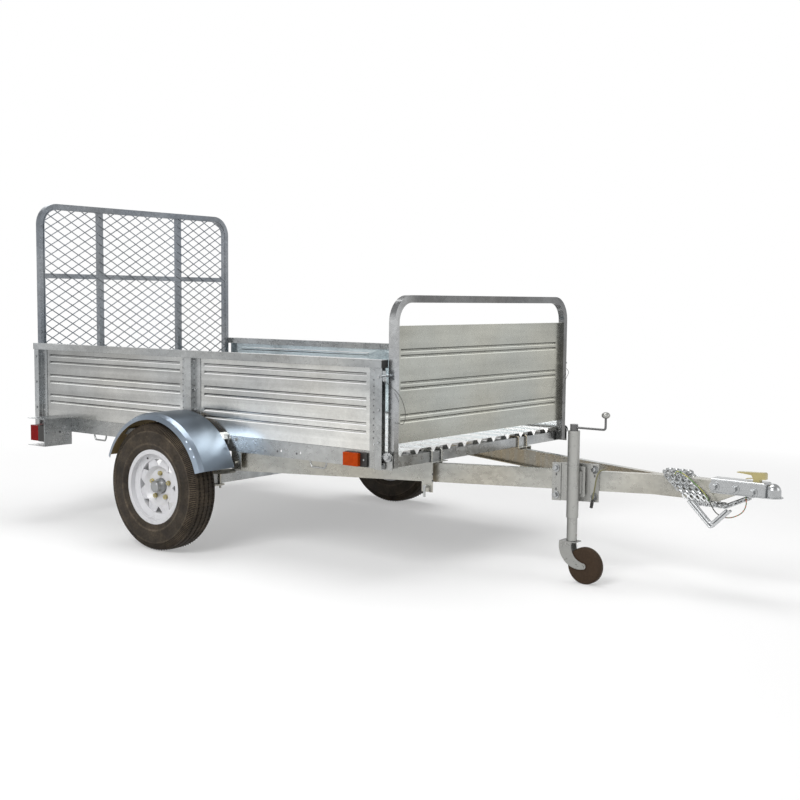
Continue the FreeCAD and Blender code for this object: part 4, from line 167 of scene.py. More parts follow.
def tint(name, factor=1.0):
    """One of the trailer's colours, times a factor."""
    return tuple(factor * part for part in getattr(bpy.context.scene.trailer_colours, name))


# Finishes


EVEN = (1, 1, 1)
NOISE_RUN = (0.3, 0.7)


class Nodes:
    """A node tree in the making."""

    def __init__(self, tree):
        self.tree = tree
        tree.nodes.clear()

    def join(self, value, socket):
        """Sets a socket to a value, or links it to another node's output."""
        if isinstance(value, bpy.types.NodeSocket):
            self.tree.links.new(value, socket)
        else:
            socket.default_value = value

    def add(self, kind, sockets=None, **settings):
        """A node with its settings, and its sockets filled."""
        node = self.tree.nodes.new(f"ShaderNode{kind}")
        for key, value in settings.items():
            setattr(node, key, value)
        for key, value in (sockets or {}).items():
            self.join(value, node.inputs[key])
        return node

    def sums(self, operation, first, second=0):
        return self.add("Math", {0: first, 1: second}, operation=operation).outputs["Value"]

    def product(self, first, second):
        return self.sums("MULTIPLY", first, second)

    def part(self, vector, name):
        """One part of a vector: X, Y or Z."""
        return self.add("SeparateXYZ", {"Vector": vector}).outputs[name]

    def chosen(self, factor, first, second):
        """The first shader where the factor is 0 and the second where it is 1."""
        return self.add("MixShader", {0: factor, 1: first, 2: second}).outputs["Shader"]

    def seen(self):
        """One for the rays of the camera, of mirrors and of clear pieces, and 0 for other light."""
        path = self.add("LightPath").outputs
        direct = self.sums("MAXIMUM", path["Is Camera Ray"], path["Is Glossy Ray"])
        return self.sums("MAXIMUM", direct, path["Is Transmission Ray"])


class Recipe(Nodes):
    """One node material round a Principled shader."""

    def __init__(self, name, **values):
        self.material = bpy.data.materials.new(name)
        self.material.use_nodes = True
        super().__init__(self.material.node_tree)
        fixed = {key.replace("_", " "): value for key, value in values.items()}
        self.shader = self.add("BsdfPrincipled", fixed)
        self.out = self.add("OutputMaterial", {"Surface": self.shader.outputs["BSDF"]})
        self.place = self.add("TexCoord").outputs["Object"]

    def mapped(self, stretch):
        return self.add("Mapping", {"Vector": self.place, "Scale": stretch}).outputs["Vector"]

    def noise(self, scale, stretch=EVEN, detail=3.0, rough=0.55):
        sockets = {"Vector": self.mapped(stretch), "Scale": scale, "Detail": detail, "Roughness": rough}
        return self.add("TexNoise", sockets).outputs["Fac"]

    def cells(self, scale, stretch=EVEN, output="Color"):
        sockets = {"Vector": self.mapped(stretch), "Scale": scale}
        return self.add("TexVoronoi", sockets).outputs[output]

    def span(self, source, low, high, to_low=0, to_high=1):
        """Stretches the run from low to high to another one, and holds its ends."""
        sockets = {"Value": source, "From Min": low, "From Max": high, "To Min": to_low, "To Max": to_high}
        return self.add("MapRange", sockets).outputs["Result"]

    def even(self, source, low=0, high=1):
        """Stretches the run that a noise mostly keeps to."""
        return self.span(source, *NOISE_RUN, low, high)

    def blend(self, factor, first, second, how="MIX"):
        first, second = (
            value if isinstance(value, bpy.types.NodeSocket) else (*value, 1) for value in (first, second)
        )
        sockets = {"Factor": factor, 6: first, 7: second}
        return self.add("Mix", sockets, data_type="RGBA", blend_type=how).outputs[2]

    def times(self, colour, other):
        """One colour times another."""
        return self.blend(1.0, colour, other, "MULTIPLY")

    def shade(self, colour, factor, low, high):
        """The colour times a grey that runs from low to high with the factor."""
        level = self.span(factor, 0, 1, low, high)
        grey = self.add("CombineColor", dict.fromkeys(range(3), level))
        return self.times(colour, grey.outputs["Color"])

    def facing(self, name):
        """One part of the way that a face points on its own object."""
        normal = self.add("NewGeometry").outputs["True Normal"]
        turned = self.add(
            "VectorTransform", {"Vector": normal}, vector_type="NORMAL", convert_from="WORLD",
            convert_to="OBJECT",
        )
        return self.part(turned.outputs["Vector"], name)

    def along(self, name):
        """One part of the place on the object."""
        return self.part(self.place, name)

    def past(self, name, value):
        """How far the place lies past a value along X, Y or Z."""
        return self.sums("SUBTRACT", self.along(name), value)

    def inward(self, most):
        """Runs to its most on the faces turned to the trailer's middle, and is 0 elsewhere."""
        side = self.sums("SIGN", self.along("Y"))
        return self.span(self.product(self.facing("Y"), side), -0.6, -0.3, most, 0)

    def colour(self, source):
        self.tone = source
        self.join(source, self.shader.inputs["Base Color"])

    def worn(self, tone, rough, height=None, strength=0.1, distance=0.0004):
        """Gives the shader its colour, its roughness and, from a height, its bump."""
        self.colour(tone)
        self.join(rough, self.shader.inputs["Roughness"])
        if height is not None:
            bump = self.add("Bump", {"Height": height, "Strength": strength, "Distance": distance})
            self.join(bump.outputs["Normal"], self.shader.inputs["Normal"])
        return self


WARM, COOL = (1.05, 1.0, 0.90), (0.93, 0.99, 1.05)
# Painted light: the brighter, bluer tint of the sheets' faces turned into the bed
INWARD_PAINTED_LIGHT = (1.30, 1.46, 1.56)
SPANGLE = 70.0
# Runs of the side sheets' painted reflection: rear to front, and foot to head
SHEET_RUN = (CAD_BOX[0][0], CAD_BOX[0][0] + 2.4)
SHEET_FOOT, SHEET_HEAD = 0.52, 0.85
# Where the hoop's painted light fades, from its right leg towards the middle
HOOP_PAINTED_LIGHT_RUN = (-0.66, -0.5)
# Brown of the vertical runs on the drawbar beams' inward faces
BEAM_INNER_BROWN = (0.42, 0.33, 0.20)


def galvanised(
    name, colour, metal=0.92, gloss=(0.24, 0.36), contrast=0.08, streak=(0.4, 5, 7), cloud=0.2, warmth=0.4,
    painted_top_light=0.3, grime_and_underside_shade=0.4,
):
    """Zinc-coated steel: faint spangle, rolling streaks and cloudy bloom, with painted light on the faces turned up
    and painted shade on the faces turned down.
    """
    made = Recipe(name, Metallic=metal)
    crystal = made.add("SeparateColor", {"Color": made.cells(SPANGLE, (1, 1, 1.25))}).outputs["Red"]
    long = made.noise(2.3, streak, 3)
    bloom = made.noise(7.0, EVEN, 6, 0.66)
    patch = made.noise(1.3, (1, 1.5, 1.5), 2)
    speck = made.span(made.noise(60.0, EVEN, 2, 0.5), 0.70, 0.76, 0, 0.14)
    tone = made.shade(tint(colour), crystal, 1 - contrast, 1 + contrast)
    tone = made.shade(tone, made.even(long), 1 - cloud, 1 + cloud)
    tone = made.shade(tone, made.even(bloom), 1 - cloud * 0.6, 1 + cloud * 0.6)
    cast = made.blend(made.span(patch, 0.36, 0.64), COOL, WARM)
    tone = made.blend(warmth, tone, made.times(tone, cast))
    # Painted light: the faces turned up are made lighter, or darker where this strength is below 0
    tone = made.shade(tone, made.span(made.facing("Z"), 0.1, 0.8), 1, 1 + painted_top_light)
    # Painted shade: the faces turned down are made darker
    tone = made.shade(tone, made.span(made.facing("Z"), -0.8, -0.1, 1, 0), 1, 1 - grime_and_underside_shade)
    rough = made.span(made.sums("ADD", crystal, bloom), 0.4, 1.5, *gloss)
    return made.worn(made.blend(speck, tone, tint(colour, 0.45)), rough, crystal, 0.05)


def side_sheet(name):
    """Rolled sheet with a painted reflection that is brighter towards the front and the foot, painted light on the
    faces inside the bed, and strong painted light on upward faces and painted shade on downward ones.
    """
    made = galvanised(name, "sheet", contrast=0.03, streak=(0.3, 4, 9), gloss=(0.18, 0.26), painted_top_light=1.3, grime_and_underside_shade=0.8)
    # Painted reflection: the sheet is lighter towards the front and towards its foot
    tone = made.shade(made.tone, made.span(made.along("X"), *SHEET_RUN), 0.66, 1.42)
    tone = made.shade(tone, made.span(made.along("Z"), SHEET_FOOT, SHEET_HEAD, 1, 0), 0.88, 1.16)
    # Painted light: the faces turned into the bed are made brighter and bluer
    made.colour(made.blend(made.inward(1), tone, made.times(tone, INWARD_PAINTED_LIGHT)))
    return made


def hoop_tube(name):
    """The hoop's tube, with painted light down its right leg and painted shade on its upward faces."""
    # Painted shade on the tube's upward faces
    made = galvanised(name, "hoop", gloss=(0.2, 0.3), streak=(3, 2, 3), painted_top_light=-0.45)
    # Painted light: the right leg is made lighter and the rest of the tube darker
    made.colour(made.shade(made.tone, made.span(made.along("Y"), *HOOP_PAINTED_LIGHT_RUN), 1.6, 0.66))
    return made


def drawbar_beams(name):
    """Zinc-coated beams, brown in vertical runs down the faces turned to the middle."""
    made = galvanised(name, "drawbar", contrast=0.07, streak=(2, 3, 6), cloud=0.16, warmth=0.8)
    runs = made.span(made.noise(26.0, (1, 1, 0.12), 4), 0.35, 0.65, 0.35, 1)
    made.colour(made.blend(made.product(made.inward(0.75), runs), made.tone, BEAM_INNER_BROWN))
    return made


FENDER_MIDDLE = 0.812
# Browns of the painted ground reflection inside the arches
FENDER_GROUND_REFLECTION = ((0.29, 0.20, 0.085), (0.45, 0.33, 0.15))


def fenders(name):
    """Smooth bluish zinc outside; inside the arch a matt brown, a painted reflection of the ground."""
    made = Recipe(name)
    bloom = made.noise(5.0, (1.2, 1, 1.2), 5)
    wide = made.noise(2.0, (2, 1, 1), 2)
    tone = made.shade(tint("fender"), made.even(bloom), 0.88, 1.12)
    tone = made.shade(tone, made.span(wide, 0.35, 0.65), 0.82, 1.2)
    across = made.sums("SUBTRACT", made.sums("ABSOLUTE", made.along("Y")), FENDER_MIDDLE)
    side = made.sums("SIGN", made.along("Y"))
    toward = made.product(made.facing("X"), made.past("X", AXLE.x))
    over = made.product(made.facing("Z"), made.past("Z", AXLE.z))
    out = made.product(made.facing("Y"), made.product(across, side))
    outside = made.sums("ADD", made.sums("ADD", toward, over), out)
    inside = made.span(outside, -0.01, 0.01, 1, 0)
    metal = made.sums("SUBTRACT", 0.9, made.product(inside, 0.85))
    made.join(metal, made.shader.inputs["Metallic"])
    rough = made.sums("ADD", made.even(bloom, 0.28, 0.36), made.product(inside, 0.4))
    # Painted reflection: the faces inside the arch take the brown of the ground
    tone = made.blend(inside, tone, made.blend(bloom, *FENDER_GROUND_REFLECTION))
    return made.worn(tone, rough, made.noise(4.0, EVEN, 1), 0.10, 0.004)


def plated(name, colour, brightness=1.0, metal=0.85, gloss=(0.18, 0.34)):
    """Plated steel with a faint brushed grain and duller stains."""
    made = Recipe(name, Metallic=metal)
    stain = made.noise(38.0, EVEN, 5)
    grain = made.noise(160.0, (1, 1, 6), 2)
    tone = made.shade(tint(colour, brightness), stain, 0.84, 1.12)
    return made.worn(made.shade(tone, grain, 0.96, 1.04), made.span(stain, 0.25, 0.75, *gloss), grain)


def silver_paint(name):
    """Silver paint with fine flakes and scuffed spots, and a painted highlight on the faces turned ahead and to the
    right.
    """
    made = Recipe(name, Metallic=0.45)
    flake = made.cells(900.0)
    scuff = made.noise(24.0, EVEN, 6, 0.7)
    tone = made.shade(made.shade(tint("silver"), flake, 0.93, 1.07), scuff, 0.84, 1.14)
    # Painted highlight: faces turned ahead and to the right are lighter, faces turned away darker
    ahead, aside = made.product(made.facing("X"), 0.74), made.product(made.facing("Y"), 0.67)
    toward = made.sums("SUBTRACT", ahead, aside)
    tone = made.shade(tone, made.span(toward, 0.05, 1.0), 0.5, 1.45)
    tone = made.blend(made.span(scuff, 0.62, 0.74, 0, 0.5), tone, (0.16, 0.155, 0.14))
    return made.worn(tone, made.even(scuff, 0.24, 0.36), made.noise(70.0), 0.10, 0.0008)


def white_enamel(name):
    """White enamel with orange peel, a little grime and chips towards bare metal."""
    made = Recipe(name, Metallic=0.0, Coat_Weight=0.2, Coat_Roughness=0.15)
    grime_and_underside_shade = made.noise(16.0, EVEN, 6, 0.62)
    tone = made.shade(tint("enamel"), grime_and_underside_shade, 0.90, 1.06)
    chips = made.span(made.noise(75.0, EVEN, 4, 0.7), 0.71, 0.73, 0, 0.5)
    tone = made.blend(chips, tone, (0.30, 0.27, 0.24))
    return made.worn(tone, made.even(grime_and_underside_shade, 0.22, 0.4), made.noise(140.0, EVEN, 2), 0.06, 0.0006)


def rubber(name, colour="rubber", brightness=1.0, dusty=0.62, dust=(0.125, 0.098, 0.068)):
    """Rubber with moulded grain and dry dust in patches."""
    made = Recipe(name, Metallic=0.0, Specular_IOR_Level=0.2)
    patch = made.noise(9.0, (1, 0.6, 1), 6, 0.66)
    speck = made.noise(120.0, EVEN, 3, 0.7)
    tone = made.shade(tint(colour, brightness), speck, 0.6, 1.4)
    spots = made.span(speck, 0.35, 0.65, 0.35, 1.0)
    cover = made.product(made.span(patch, 0.38, 0.62, dusty * 0.25, dusty), spots)
    tone = made.blend(cover, tone, dust)
    return made.worn(tone, made.even(patch, 0.50, 0.78), made.noise(260.0), 0.18, 0.0007)


BEAD_RING = (0.186, 0.192, 0.194, 0.200)
SHOULDER_RING = (0.243, 0.250, 0.276, 0.284)


def tyre_rubber(name):
    """Dusty rubber, with lighter rings by the rim and under the shoulder, and mud-stained patches."""
    made = rubber(name)
    ahead, above = made.past("X", AXLE.x), made.past("Z", AXLE.z)
    square = made.sums("ADD", made.product(ahead, ahead), made.product(above, above))
    radius = made.sums("SQRT", square)
    bead, shoulder = (
        made.product(made.span(radius, start, full, 0, 1), made.span(radius, fading, end, 1, 0))
        for start, full, fading, end in (BEAD_RING, SHOULDER_RING)
    )
    patch = made.noise(14.0, EVEN, 4, 0.6)
    tone = made.shade(made.tone, made.span(patch, 0.35, 0.65), 0.62, 1.35)
    made.colour(made.shade(tone, made.sums("MAXIMUM", shoulder, bead), 0.86, 1.6))
    return made


def black_plastic(name):
    """Moulded black plastic with a fine texture and faint scuffs."""
    made = Recipe(name, Metallic=0.0)
    scuff = made.noise(30.0, EVEN, 5, 0.65)
    tone = made.shade(tint("plastic"), scuff, 0.7, 2.0)
    return made.worn(tone, made.even(scuff, 0.36, 0.56), made.cells(700.0, EVEN, "Distance"), 0.12, 0.0003)


def lens(name, colour):
    """Clear tinted plastic over moulded prisms."""
    made = Recipe(name, Metallic=0.0, Specular_IOR_Level=0.06)
    wave = made.add("TexWave", {"Vector": made.place, "Scale": 60}, bands_direction="Z")
    prism = wave.outputs["Fac"]
    depth = made.noise(40.0, EVEN, 2)
    tone = made.shade(made.shade(tint(colour), depth, 0.8, 1.15), prism, 0.72, 1.1)
    return made.worn(tone, made.span(depth, 0.2, 0.8, 0.2, 0.34), prism, 0.30, 0.0008)


def cable(name, colour=None, bright=1.25):
    """Soft cable sheath of one colour, or else the harness's wires."""
    made = Recipe(name, Metallic=0.0)
    smear = made.noise(60.0)
    tone = tint(colour) if colour else harness_colours(made)
    return made.worn(made.shade(tone, smear, 0.75, bright), made.even(smear, 0.36, 0.52), smear, 0.12)


YELLOW_WIRE, DARK_WIRE, BROWN_WIRE = (0.50, 0.46, 0.10), (0.05, 0.05, 0.04), (0.12, 0.20, 0.07)


def harness_colours(made):
    """Thin wires in one run: green and yellow, then dark, then orange and green."""
    band = made.sums("PINGPONG", made.sums("ADD", made.along("X"), made.along("Z")), 0.012)
    stripe = made.span(band, 0.005, 0.007)
    ahead = made.past("X", AXLE.x)
    first = made.blend(stripe, tint("green"), YELLOW_WIRE)
    last = made.blend(stripe, tint("orange"), BROWN_WIRE)
    tone = made.blend(made.span(ahead, 2.235, 2.245), first, DARK_WIRE)
    return made.blend(made.span(ahead, 2.300, 2.310), tone, last)


def hole_inside(name):
    """A dark finish of painted shade that stands for the inside of a small hole."""
    made = Recipe(name, Metallic=0.2)
    smear = made.noise(90.0)
    return made.worn(made.shade((0.10, 0.10, 0.105), smear, 0.6, 1.3), made.even(smear, 0.5, 0.8))


FLOOR_GLOW = 0.34
FLOOR_FADE = (2.2, 4.5)


def studio_floor(name):
    """A matt floor: the camera sees it near white with its shadow, and plain white further off."""
    made = Recipe(name)
    made.tree.nodes.remove(made.shader)
    tone = made.shade(tint("floor"), made.noise(0.7), 0.985, 1.015)
    diffuse = made.add("BsdfDiffuse", {"Color": tone}).outputs["BSDF"]
    faint, plain = (
        made.add("Emission", {"Strength": strength}).outputs["Emission"]
        for strength in (FLOOR_GLOW, 1.0)
    )
    near = made.add("AddShader", {0: diffuse, 1: faint}).outputs["Shader"]
    distance = made.add("VectorMath", {0: made.place}, operation="LENGTH").outputs["Value"]
    both = made.chosen(made.span(distance, *FLOOR_FADE), near, plain)
    made.join(made.chosen(made.seen(), diffuse, both), made.out.inputs["Surface"])
    return made


# Each finish: how it is made, with what values, and the parts carried over that wear it
FINISHES = {
    "galvanised_sheet": (side_sheet, {}, ("side_panels",)),
    # Its top and underside strengths paint light on upward faces and shade on downward ones
    "galvanised_front": (
        galvanised, {
            "colour": "front", "contrast": 0.03, "streak": (4, 0.5, 6), "cloud": 0.12, "gloss": (0.24, 0.34),
            "painted_top_light": 0.9, "grime_and_underside_shade": 0.75,
        }, ("front_gate_panel",),
    ),
    "galvanised_deck": (
        galvanised, {
            "colour": "deck", "metal": 0.75, "gloss": (0.26, 0.36), "contrast": 0.04, "streak": (0.5, 9, 1),
            "cloud": 0.12,
        }, ("deck_sheet",),
    ),
    "galvanised_section": (
        galvanised, {"colour": "section", "streak": (1.5, 6, 3)}, (
            "side_rails", "crossmembers", "posts", "top_rails", "tie_loops", "tail_lamp_brackets",
            "front_gate_hinges", "front_gate_latches", "rear_gate_hinges", "fender_brackets", "spring_hangers",
            "axle_beam", "tilt_pins",
        ),
    ),
    "galvanised_hoop": (hoop_tube, {}, ("front_gate_hoop",)),
    "galvanised_drawbar": (
        drawbar_beams, {}, (
            "drawbar_right", "drawbar_left", "tongue_pivots", "tongue_saddles", "leaf_springs", "spring_clamps",
        ),
    ),
    "galvanised_gate": (
        galvanised, {"colour": "gate", "contrast": 0.12, "streak": (3, 2, 2)},
        ("rear_gate_frame", "rear_gate_mesh"),
    ),
    "galvanised_fender": (fenders, {}, ("fender_right", "fender_left")),
    "bright_zinc": (plated, {"colour": "zinc"}, ("coupler",)),
    "yellow_zinc": (plated, {"colour": "gold", "metal": 0.8, "gloss": (0.2, 0.38)}, ("coupler_latch",)),
    "hub_zinc": (
        plated, {"colour": "zinc", "brightness": 0.8, "metal": 0.75, "gloss": (0.25, 0.42)},
        ("hub_right", "hub_left"),
    ),
    "chain_zinc": (
        plated, {"colour": "zinc", "brightness": 1.35, "metal": 0.8, "gloss": (0.26, 0.42)},
        ("safety_chains", "hook_rods"),
    ),
    "silver_paint": (silver_paint, {}, ("jack_tube", "jack_leg", "caster_fork", "jack_bracket")),
    "dark_zinc": (plated, {"colour": "steel"}, ("jack_crank",)),
    "white_enamel": (white_enamel, {}, ("rim_right", "rim_left")),
    "tyre_rubber": (tyre_rubber, {}, ("tyre_right", "tyre_left")),
    # Darker rubber for the faces in and beside the tread notches: painted shade
    "deep_rubber": (rubber, {"brightness": 0.25, "dusty": 0.05}, ()),
    "caster_rubber": (rubber, {"colour": "caster", "dusty": 0.3, "dust": (0.10, 0.065, 0.035)}, ("jack_wheel",)),
    "black_plastic": (black_plastic, {}, ("rail_plugs", "marker_bases", "tail_lamp_housings", "lead_connector")),
    "amber_lens": (lens, {"colour": "amber"}, ("marker_lenses",)),
    "red_lens": (lens, {"colour": "red"}, ("tail_lamp_lenses",)),
    "cable_sheath": (cable, {"colour": "sheath"}, ("wiring_lead",)),
    "harness_wire": (cable, {"bright": 1.2}, ()),
    "dark_wire": (cable, {"colour": "lanyard"}, ()),
    # Dark discs of painted shade stand for small holes
    "hole_inside": (hole_inside, {}, ()),
    "studio_floor": (studio_floor, {}, ()),
}
# The finish that each part carried over wears
FINISH_OF = {node: name for name, (_, _, nodes) in FINISHES.items() for node in nodes}
MADE = {}


def finish(name):
    """The finish of that name, made the first time it is asked for."""
    if name not in MADE:
        maker, values, _ = FINISHES[name]
        MADE[name] = maker(f"{name}_finish", **values).material
    return MADE[name]


# Making pieces


def placed(name, data):
    """A new object in the scene."""
    made = bpy.data.objects.new(name, data)
    bpy.context.scene.collection.objects.link(made)
    return made


def dressed(name, data, body, finish_name, replaced=()):
    """A piece in the scene with its finish and slot, riding on a body."""
    piece = placed(name, data)
    data.materials.append(finish(finish_name))
    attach(piece, body)
    if replaced:
        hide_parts(*replaced)
    return piece


def piece_from(bm, name, body, finish_name, angle=35, replaced=(), second=None):
    """Turns a bmesh into a piece, smooth except where faces meet at more than the angle."""
    mesh = bpy.data.meshes.new(name)
    bm.to_mesh(mesh)
    bm.free()
    mesh.shade_smooth()
    mesh.set_sharp_from_angle(angle=math.radians(angle))
    piece = dressed(name, mesh, body, finish_name, replaced)
    if second:
        mesh.materials.append(finish(second))
    return piece


def facing_matrix(place, axis, turn=0.0):
    """A frame at a place whose Z runs along the axis."""
    spun = Vector(axis).to_track_quat("Z", "Y").to_matrix().to_4x4()
    return Matrix.Translation(place) @ spun @ Matrix.Rotation(turn, 4, "Z")


def drum(bm, place, axis, low, high, radius, tip=None, segments=20, turn=0.0, soften=0.0):
    """A round or polygonal bar along the axis, from low to high past the place, with softened ends."""
    matrix = facing_matrix(place, axis, turn) @ Matrix.Translation((0, 0, (low + high) / 2))
    made = bmesh.ops.create_cone(
        bm, cap_ends=True, cap_tris=False, segments=segments, radius1=radius, radius2=radius if tip is None else tip,
        depth=high - low, matrix=matrix,
    )
    if soften:
        caps = [face for face in {f for v in made["verts"] for f in v.link_faces} if len(face.verts) == segments]
        edges = list({edge for face in caps for edge in face.edges})
        bmesh.ops.bevel(
            bm, geom=edges, offset=soften, segments=2, profile=0.5, affect="EDGES", material=-1, clamp_overlap=True
        )


HEAD_HEIGHT, HEAD_CHAMFER = 0.6, 0.07
WASHER_HEIGHT, WASHER_RADIUS = 0.12, 0.95


def bolt(bm, seat, axis, across, tall=None, washer=True, turn=0.0):
    """A hexagon head, on its washer if it has one."""
    tall = tall or across * HEAD_HEIGHT
    base = across * WASHER_HEIGHT if washer else 0.0
    if washer:
        drum(bm, seat, axis, 0, base, across * WASHER_RADIUS, segments=24)
    drum(
        bm, seat, axis, base, base + tall, across / math.sqrt(3), segments=6, turn=turn,
        soften=across * HEAD_CHAMFER,
    )


def rivet(bm, seat, axis, radius, tall):
    """A low domed head."""
    drum(bm, seat, axis, -0.0004, tall * 0.5, radius, segments=14)
    drum(bm, seat, axis, tall * 0.5, tall, radius, radius * 0.6, segments=14)


def punched(bm, seat, axis, radius):
    """A thin dark disc of painted shade where a small hole is."""
    drum(bm, seat, axis, -0.0006, 0.0003, radius, segments=12)


TREES = {}


def seat_on(node, start, direction):
    """Where a line from the start meets a node."""
    if node not in TREES:
        mesh = NODES[node].data
        TREES[node] = BVHTree.FromPolygons(
            [vert.co for vert in mesh.vertices], [tuple(face.vertices) for face in mesh.polygons]
        )
    place = TREES[node].ray_cast(Vector(start), Vector(direction).normalized())[0]
    if place is None:
        raise RuntimeError(f"nothing of {node} lies on the line from {tuple(start)}")
    return place


# How far out the lines start that look for a seat from beside or before the trailer
REACH, REACH_AHEAD = 1.2, 4.0


def beside(node, side, ahead, up):
    """The seat on the outward face of a node, on one side of the trailer, and the way out of it."""
    return seat_on(node, by_axle(ahead, side * REACH, up), (0, -side, 0)), (0, side, 0)


def before(node, left, up, start=REACH_AHEAD):
    """The seat on the front face of a node, and the way out of it."""
    return seat_on(node, by_axle(start, left, up), (-1, 0, 0)), (1, 0, 0)


def turned_round(bm, geometry, centre, axis, steps):
    """Spins an open or closed line once round and closes the seam."""
    bmesh.ops.spin(
        bm, geom=geometry, cent=centre, axis=axis, angle=math.tau, steps=steps, use_merge=True,
        use_normal_flip=False, use_duplicate=False,
    )
    bmesh.ops.remove_doubles(bm, verts=bm.verts, dist=MERGE)
    bmesh.ops.recalc_face_normals(bm, faces=bm.faces)


def spun_piece(bm, profile, place, steps, closed, axis=(0, 1, 0)):
    """Spins a line of (radius, along) points round the axis through the place."""
    place, axis = Vector(place), Vector(axis)
    up = Vector((0, 0, 1)) if abs(axis.z) < 0.5 else Vector((1, 0, 0))
    verts = [bm.verts.new(place + up * radius + axis * along) for radius, along in profile]
    edges = [bm.edges.new(pair) for pair in zip(verts, verts[1:])]
    if closed:
        edges.append(bm.edges.new((verts[-1], verts[0])))
    turned_round(bm, verts + edges, place, axis, steps)


def ring(bm, centre, axis, radius, wire):
    """A closed ring of round wire."""
    beside_it = Matrix.Translation((radius, 0, 0)) @ Matrix.Rotation(math.pi / 2, 4, "X")
    made = bmesh.ops.create_circle(bm, segments=10, radius=wire, matrix=facing_matrix(centre, axis) @ beside_it)
    edges = list({edge for vert in made["verts"] for edge in vert.link_edges})
    turned_round(bm, made["verts"] + edges, centre, Vector(axis), 28)


def smooth_copy(node, angle, round_edge):
    """A merged copy of a node, shaded smooth, its edges eased; it stands for the node."""
    bm = bmesh.new()
    bm.from_mesh(NODES[node].data)
    bmesh.ops.remove_doubles(bm, verts=bm.verts, dist=MERGE)
    bmesh.ops.dissolve_limit(
        bm, angle_limit=math.radians(0.6), verts=bm.verts, edges=bm.edges, use_dissolve_boundaries=False
    )
    piece = piece_from(bm, f"{node}_dressed", BODY_OF[node], FINISH_OF[node], angle, (node,))
    if round_edge:
        eased = piece.modifiers.new("eased edges", "BEVEL")
        eased.width = round_edge
        eased.segments = 2
        eased.limit_method = "ANGLE"
        eased.angle_limit = math.radians(angle)
    weighted = piece.modifiers.new("weighted normals", "WEIGHTED_NORMAL")
    weighted.keep_sharp = True


# The stage

CAMERA_PLACE = by_axle(4.0577, -4.3424, 1.1293)
CAMERA_YAW, CAMERA_PITCH, CAMERA_ROLL = 0.6602, -0.0852, 0.009
CAMERA_LENS = 53.23
LAMPS = {
    "key": ((1.2, -6.2, 5.2), (-0.2, 0, 0.6), 3.4, 340.0),
    "nose_fill": ((6.5, 1.5, 3.2), (0, 0, 0.6), 3.0, 60.0),
    "top": ((-0.8, 0.6, 6.0), (-0.3, 0, 0), 4.0, 220.0),
    "tail_fill": ((-6.5, 1.0, 3.0), (0, 0, 0.6), 3.0, 60.0),
}
SKY = ((0.0, 1.0), (0.27, 1.0), (0.52, 0.45), (1.0, 0.55))
SKY_LIGHT = 0.4
FLOOR_REACH = 40


class TRAILER_OT_stage(bpy.types.Operator):
    """Makes the camera, the pale floor, the soft lamps and the white surround"""

    bl_idname = "trailer.stage"
    bl_label = "Stage"
    bl_options = UNDOABLE

    def execute(self, context):
        self.camera()
        self.floor()
        self.surround()
        for name, (place, aim, size, watts) in LAMPS.items():
            self.lamp(name, Vector(place), Vector(aim), size, watts)
        context.scene.view_settings.view_transform = "Standard"
        return {"FINISHED"}

    def camera(self):
        data = bpy.data.cameras.new("camera")
        data.sensor_width = 36
        data.lens = CAMERA_LENS
        data.clip_start, data.clip_end = 0.1, 200
        camera = placed("camera", data)
        flat = math.cos(CAMERA_PITCH)
        ahead = Vector((-math.sin(CAMERA_YAW) * flat, math.cos(CAMERA_YAW) * flat, math.sin(CAMERA_PITCH)))
        level = Vector((math.cos(CAMERA_YAW), math.sin(CAMERA_YAW), 0))
        over = level.cross(ahead)
        across = level * math.cos(CAMERA_ROLL) + over * math.sin(CAMERA_ROLL)
        up = over * math.cos(CAMERA_ROLL) - level * math.sin(CAMERA_ROLL)
        camera.matrix_world = Matrix.Translation(CAMERA_PLACE) @ Matrix((across, up, -ahead)).transposed().to_4x4()
        bpy.context.scene.camera = camera

    def floor(self):
        bm = bmesh.new()
        bmesh.ops.create_grid(bm, x_segments=4, y_segments=4, size=FLOOR_REACH)
        mesh = bpy.data.meshes.new("floor")
        bm.to_mesh(mesh)
        bm.free()
        mesh.materials.append(finish("studio_floor"))
        placed("floor", mesh)

    def surround(self):
        """A white surround up to the height that the camera sees, greyer above, dimmer as light."""
        world = bpy.data.worlds.new("surround")
        bpy.context.scene.world = world
        world.use_nodes = True
        made = Nodes(world.node_tree)
        height = made.part(made.add("TexCoord").outputs["Generated"], "Z")
        ramp = made.add("ValToRGB", {"Fac": height})
        stops = ramp.color_ramp.elements
        while len(stops) < len(SKY):
            stops.new(0.5)
        for stop, (position, level) in zip(stops, SKY):
            stop.position = position
            stop.color = (level, level, level, 1)
        light, white = (
            made.add("Background", {"Color": ramp.outputs["Color"], "Strength": strength})
            for strength in (SKY_LIGHT, 1.0)
        )
        both = made.chosen(made.seen(), light.outputs["Background"], white.outputs["Background"])
        made.add("OutputWorld", {"Surface": both})

    def lamp(self, name, place, aim, size, watts):
        data = bpy.data.lights.new(name, "AREA")
        data.size = size
        data.energy = watts
        placed(name, data).matrix_world = facing_matrix(place, place - aim)


# Carried-over parts

BODY_OF = {node: body for body, members in frame["record"]["behaviour"]["bodies"].items() for node in members}
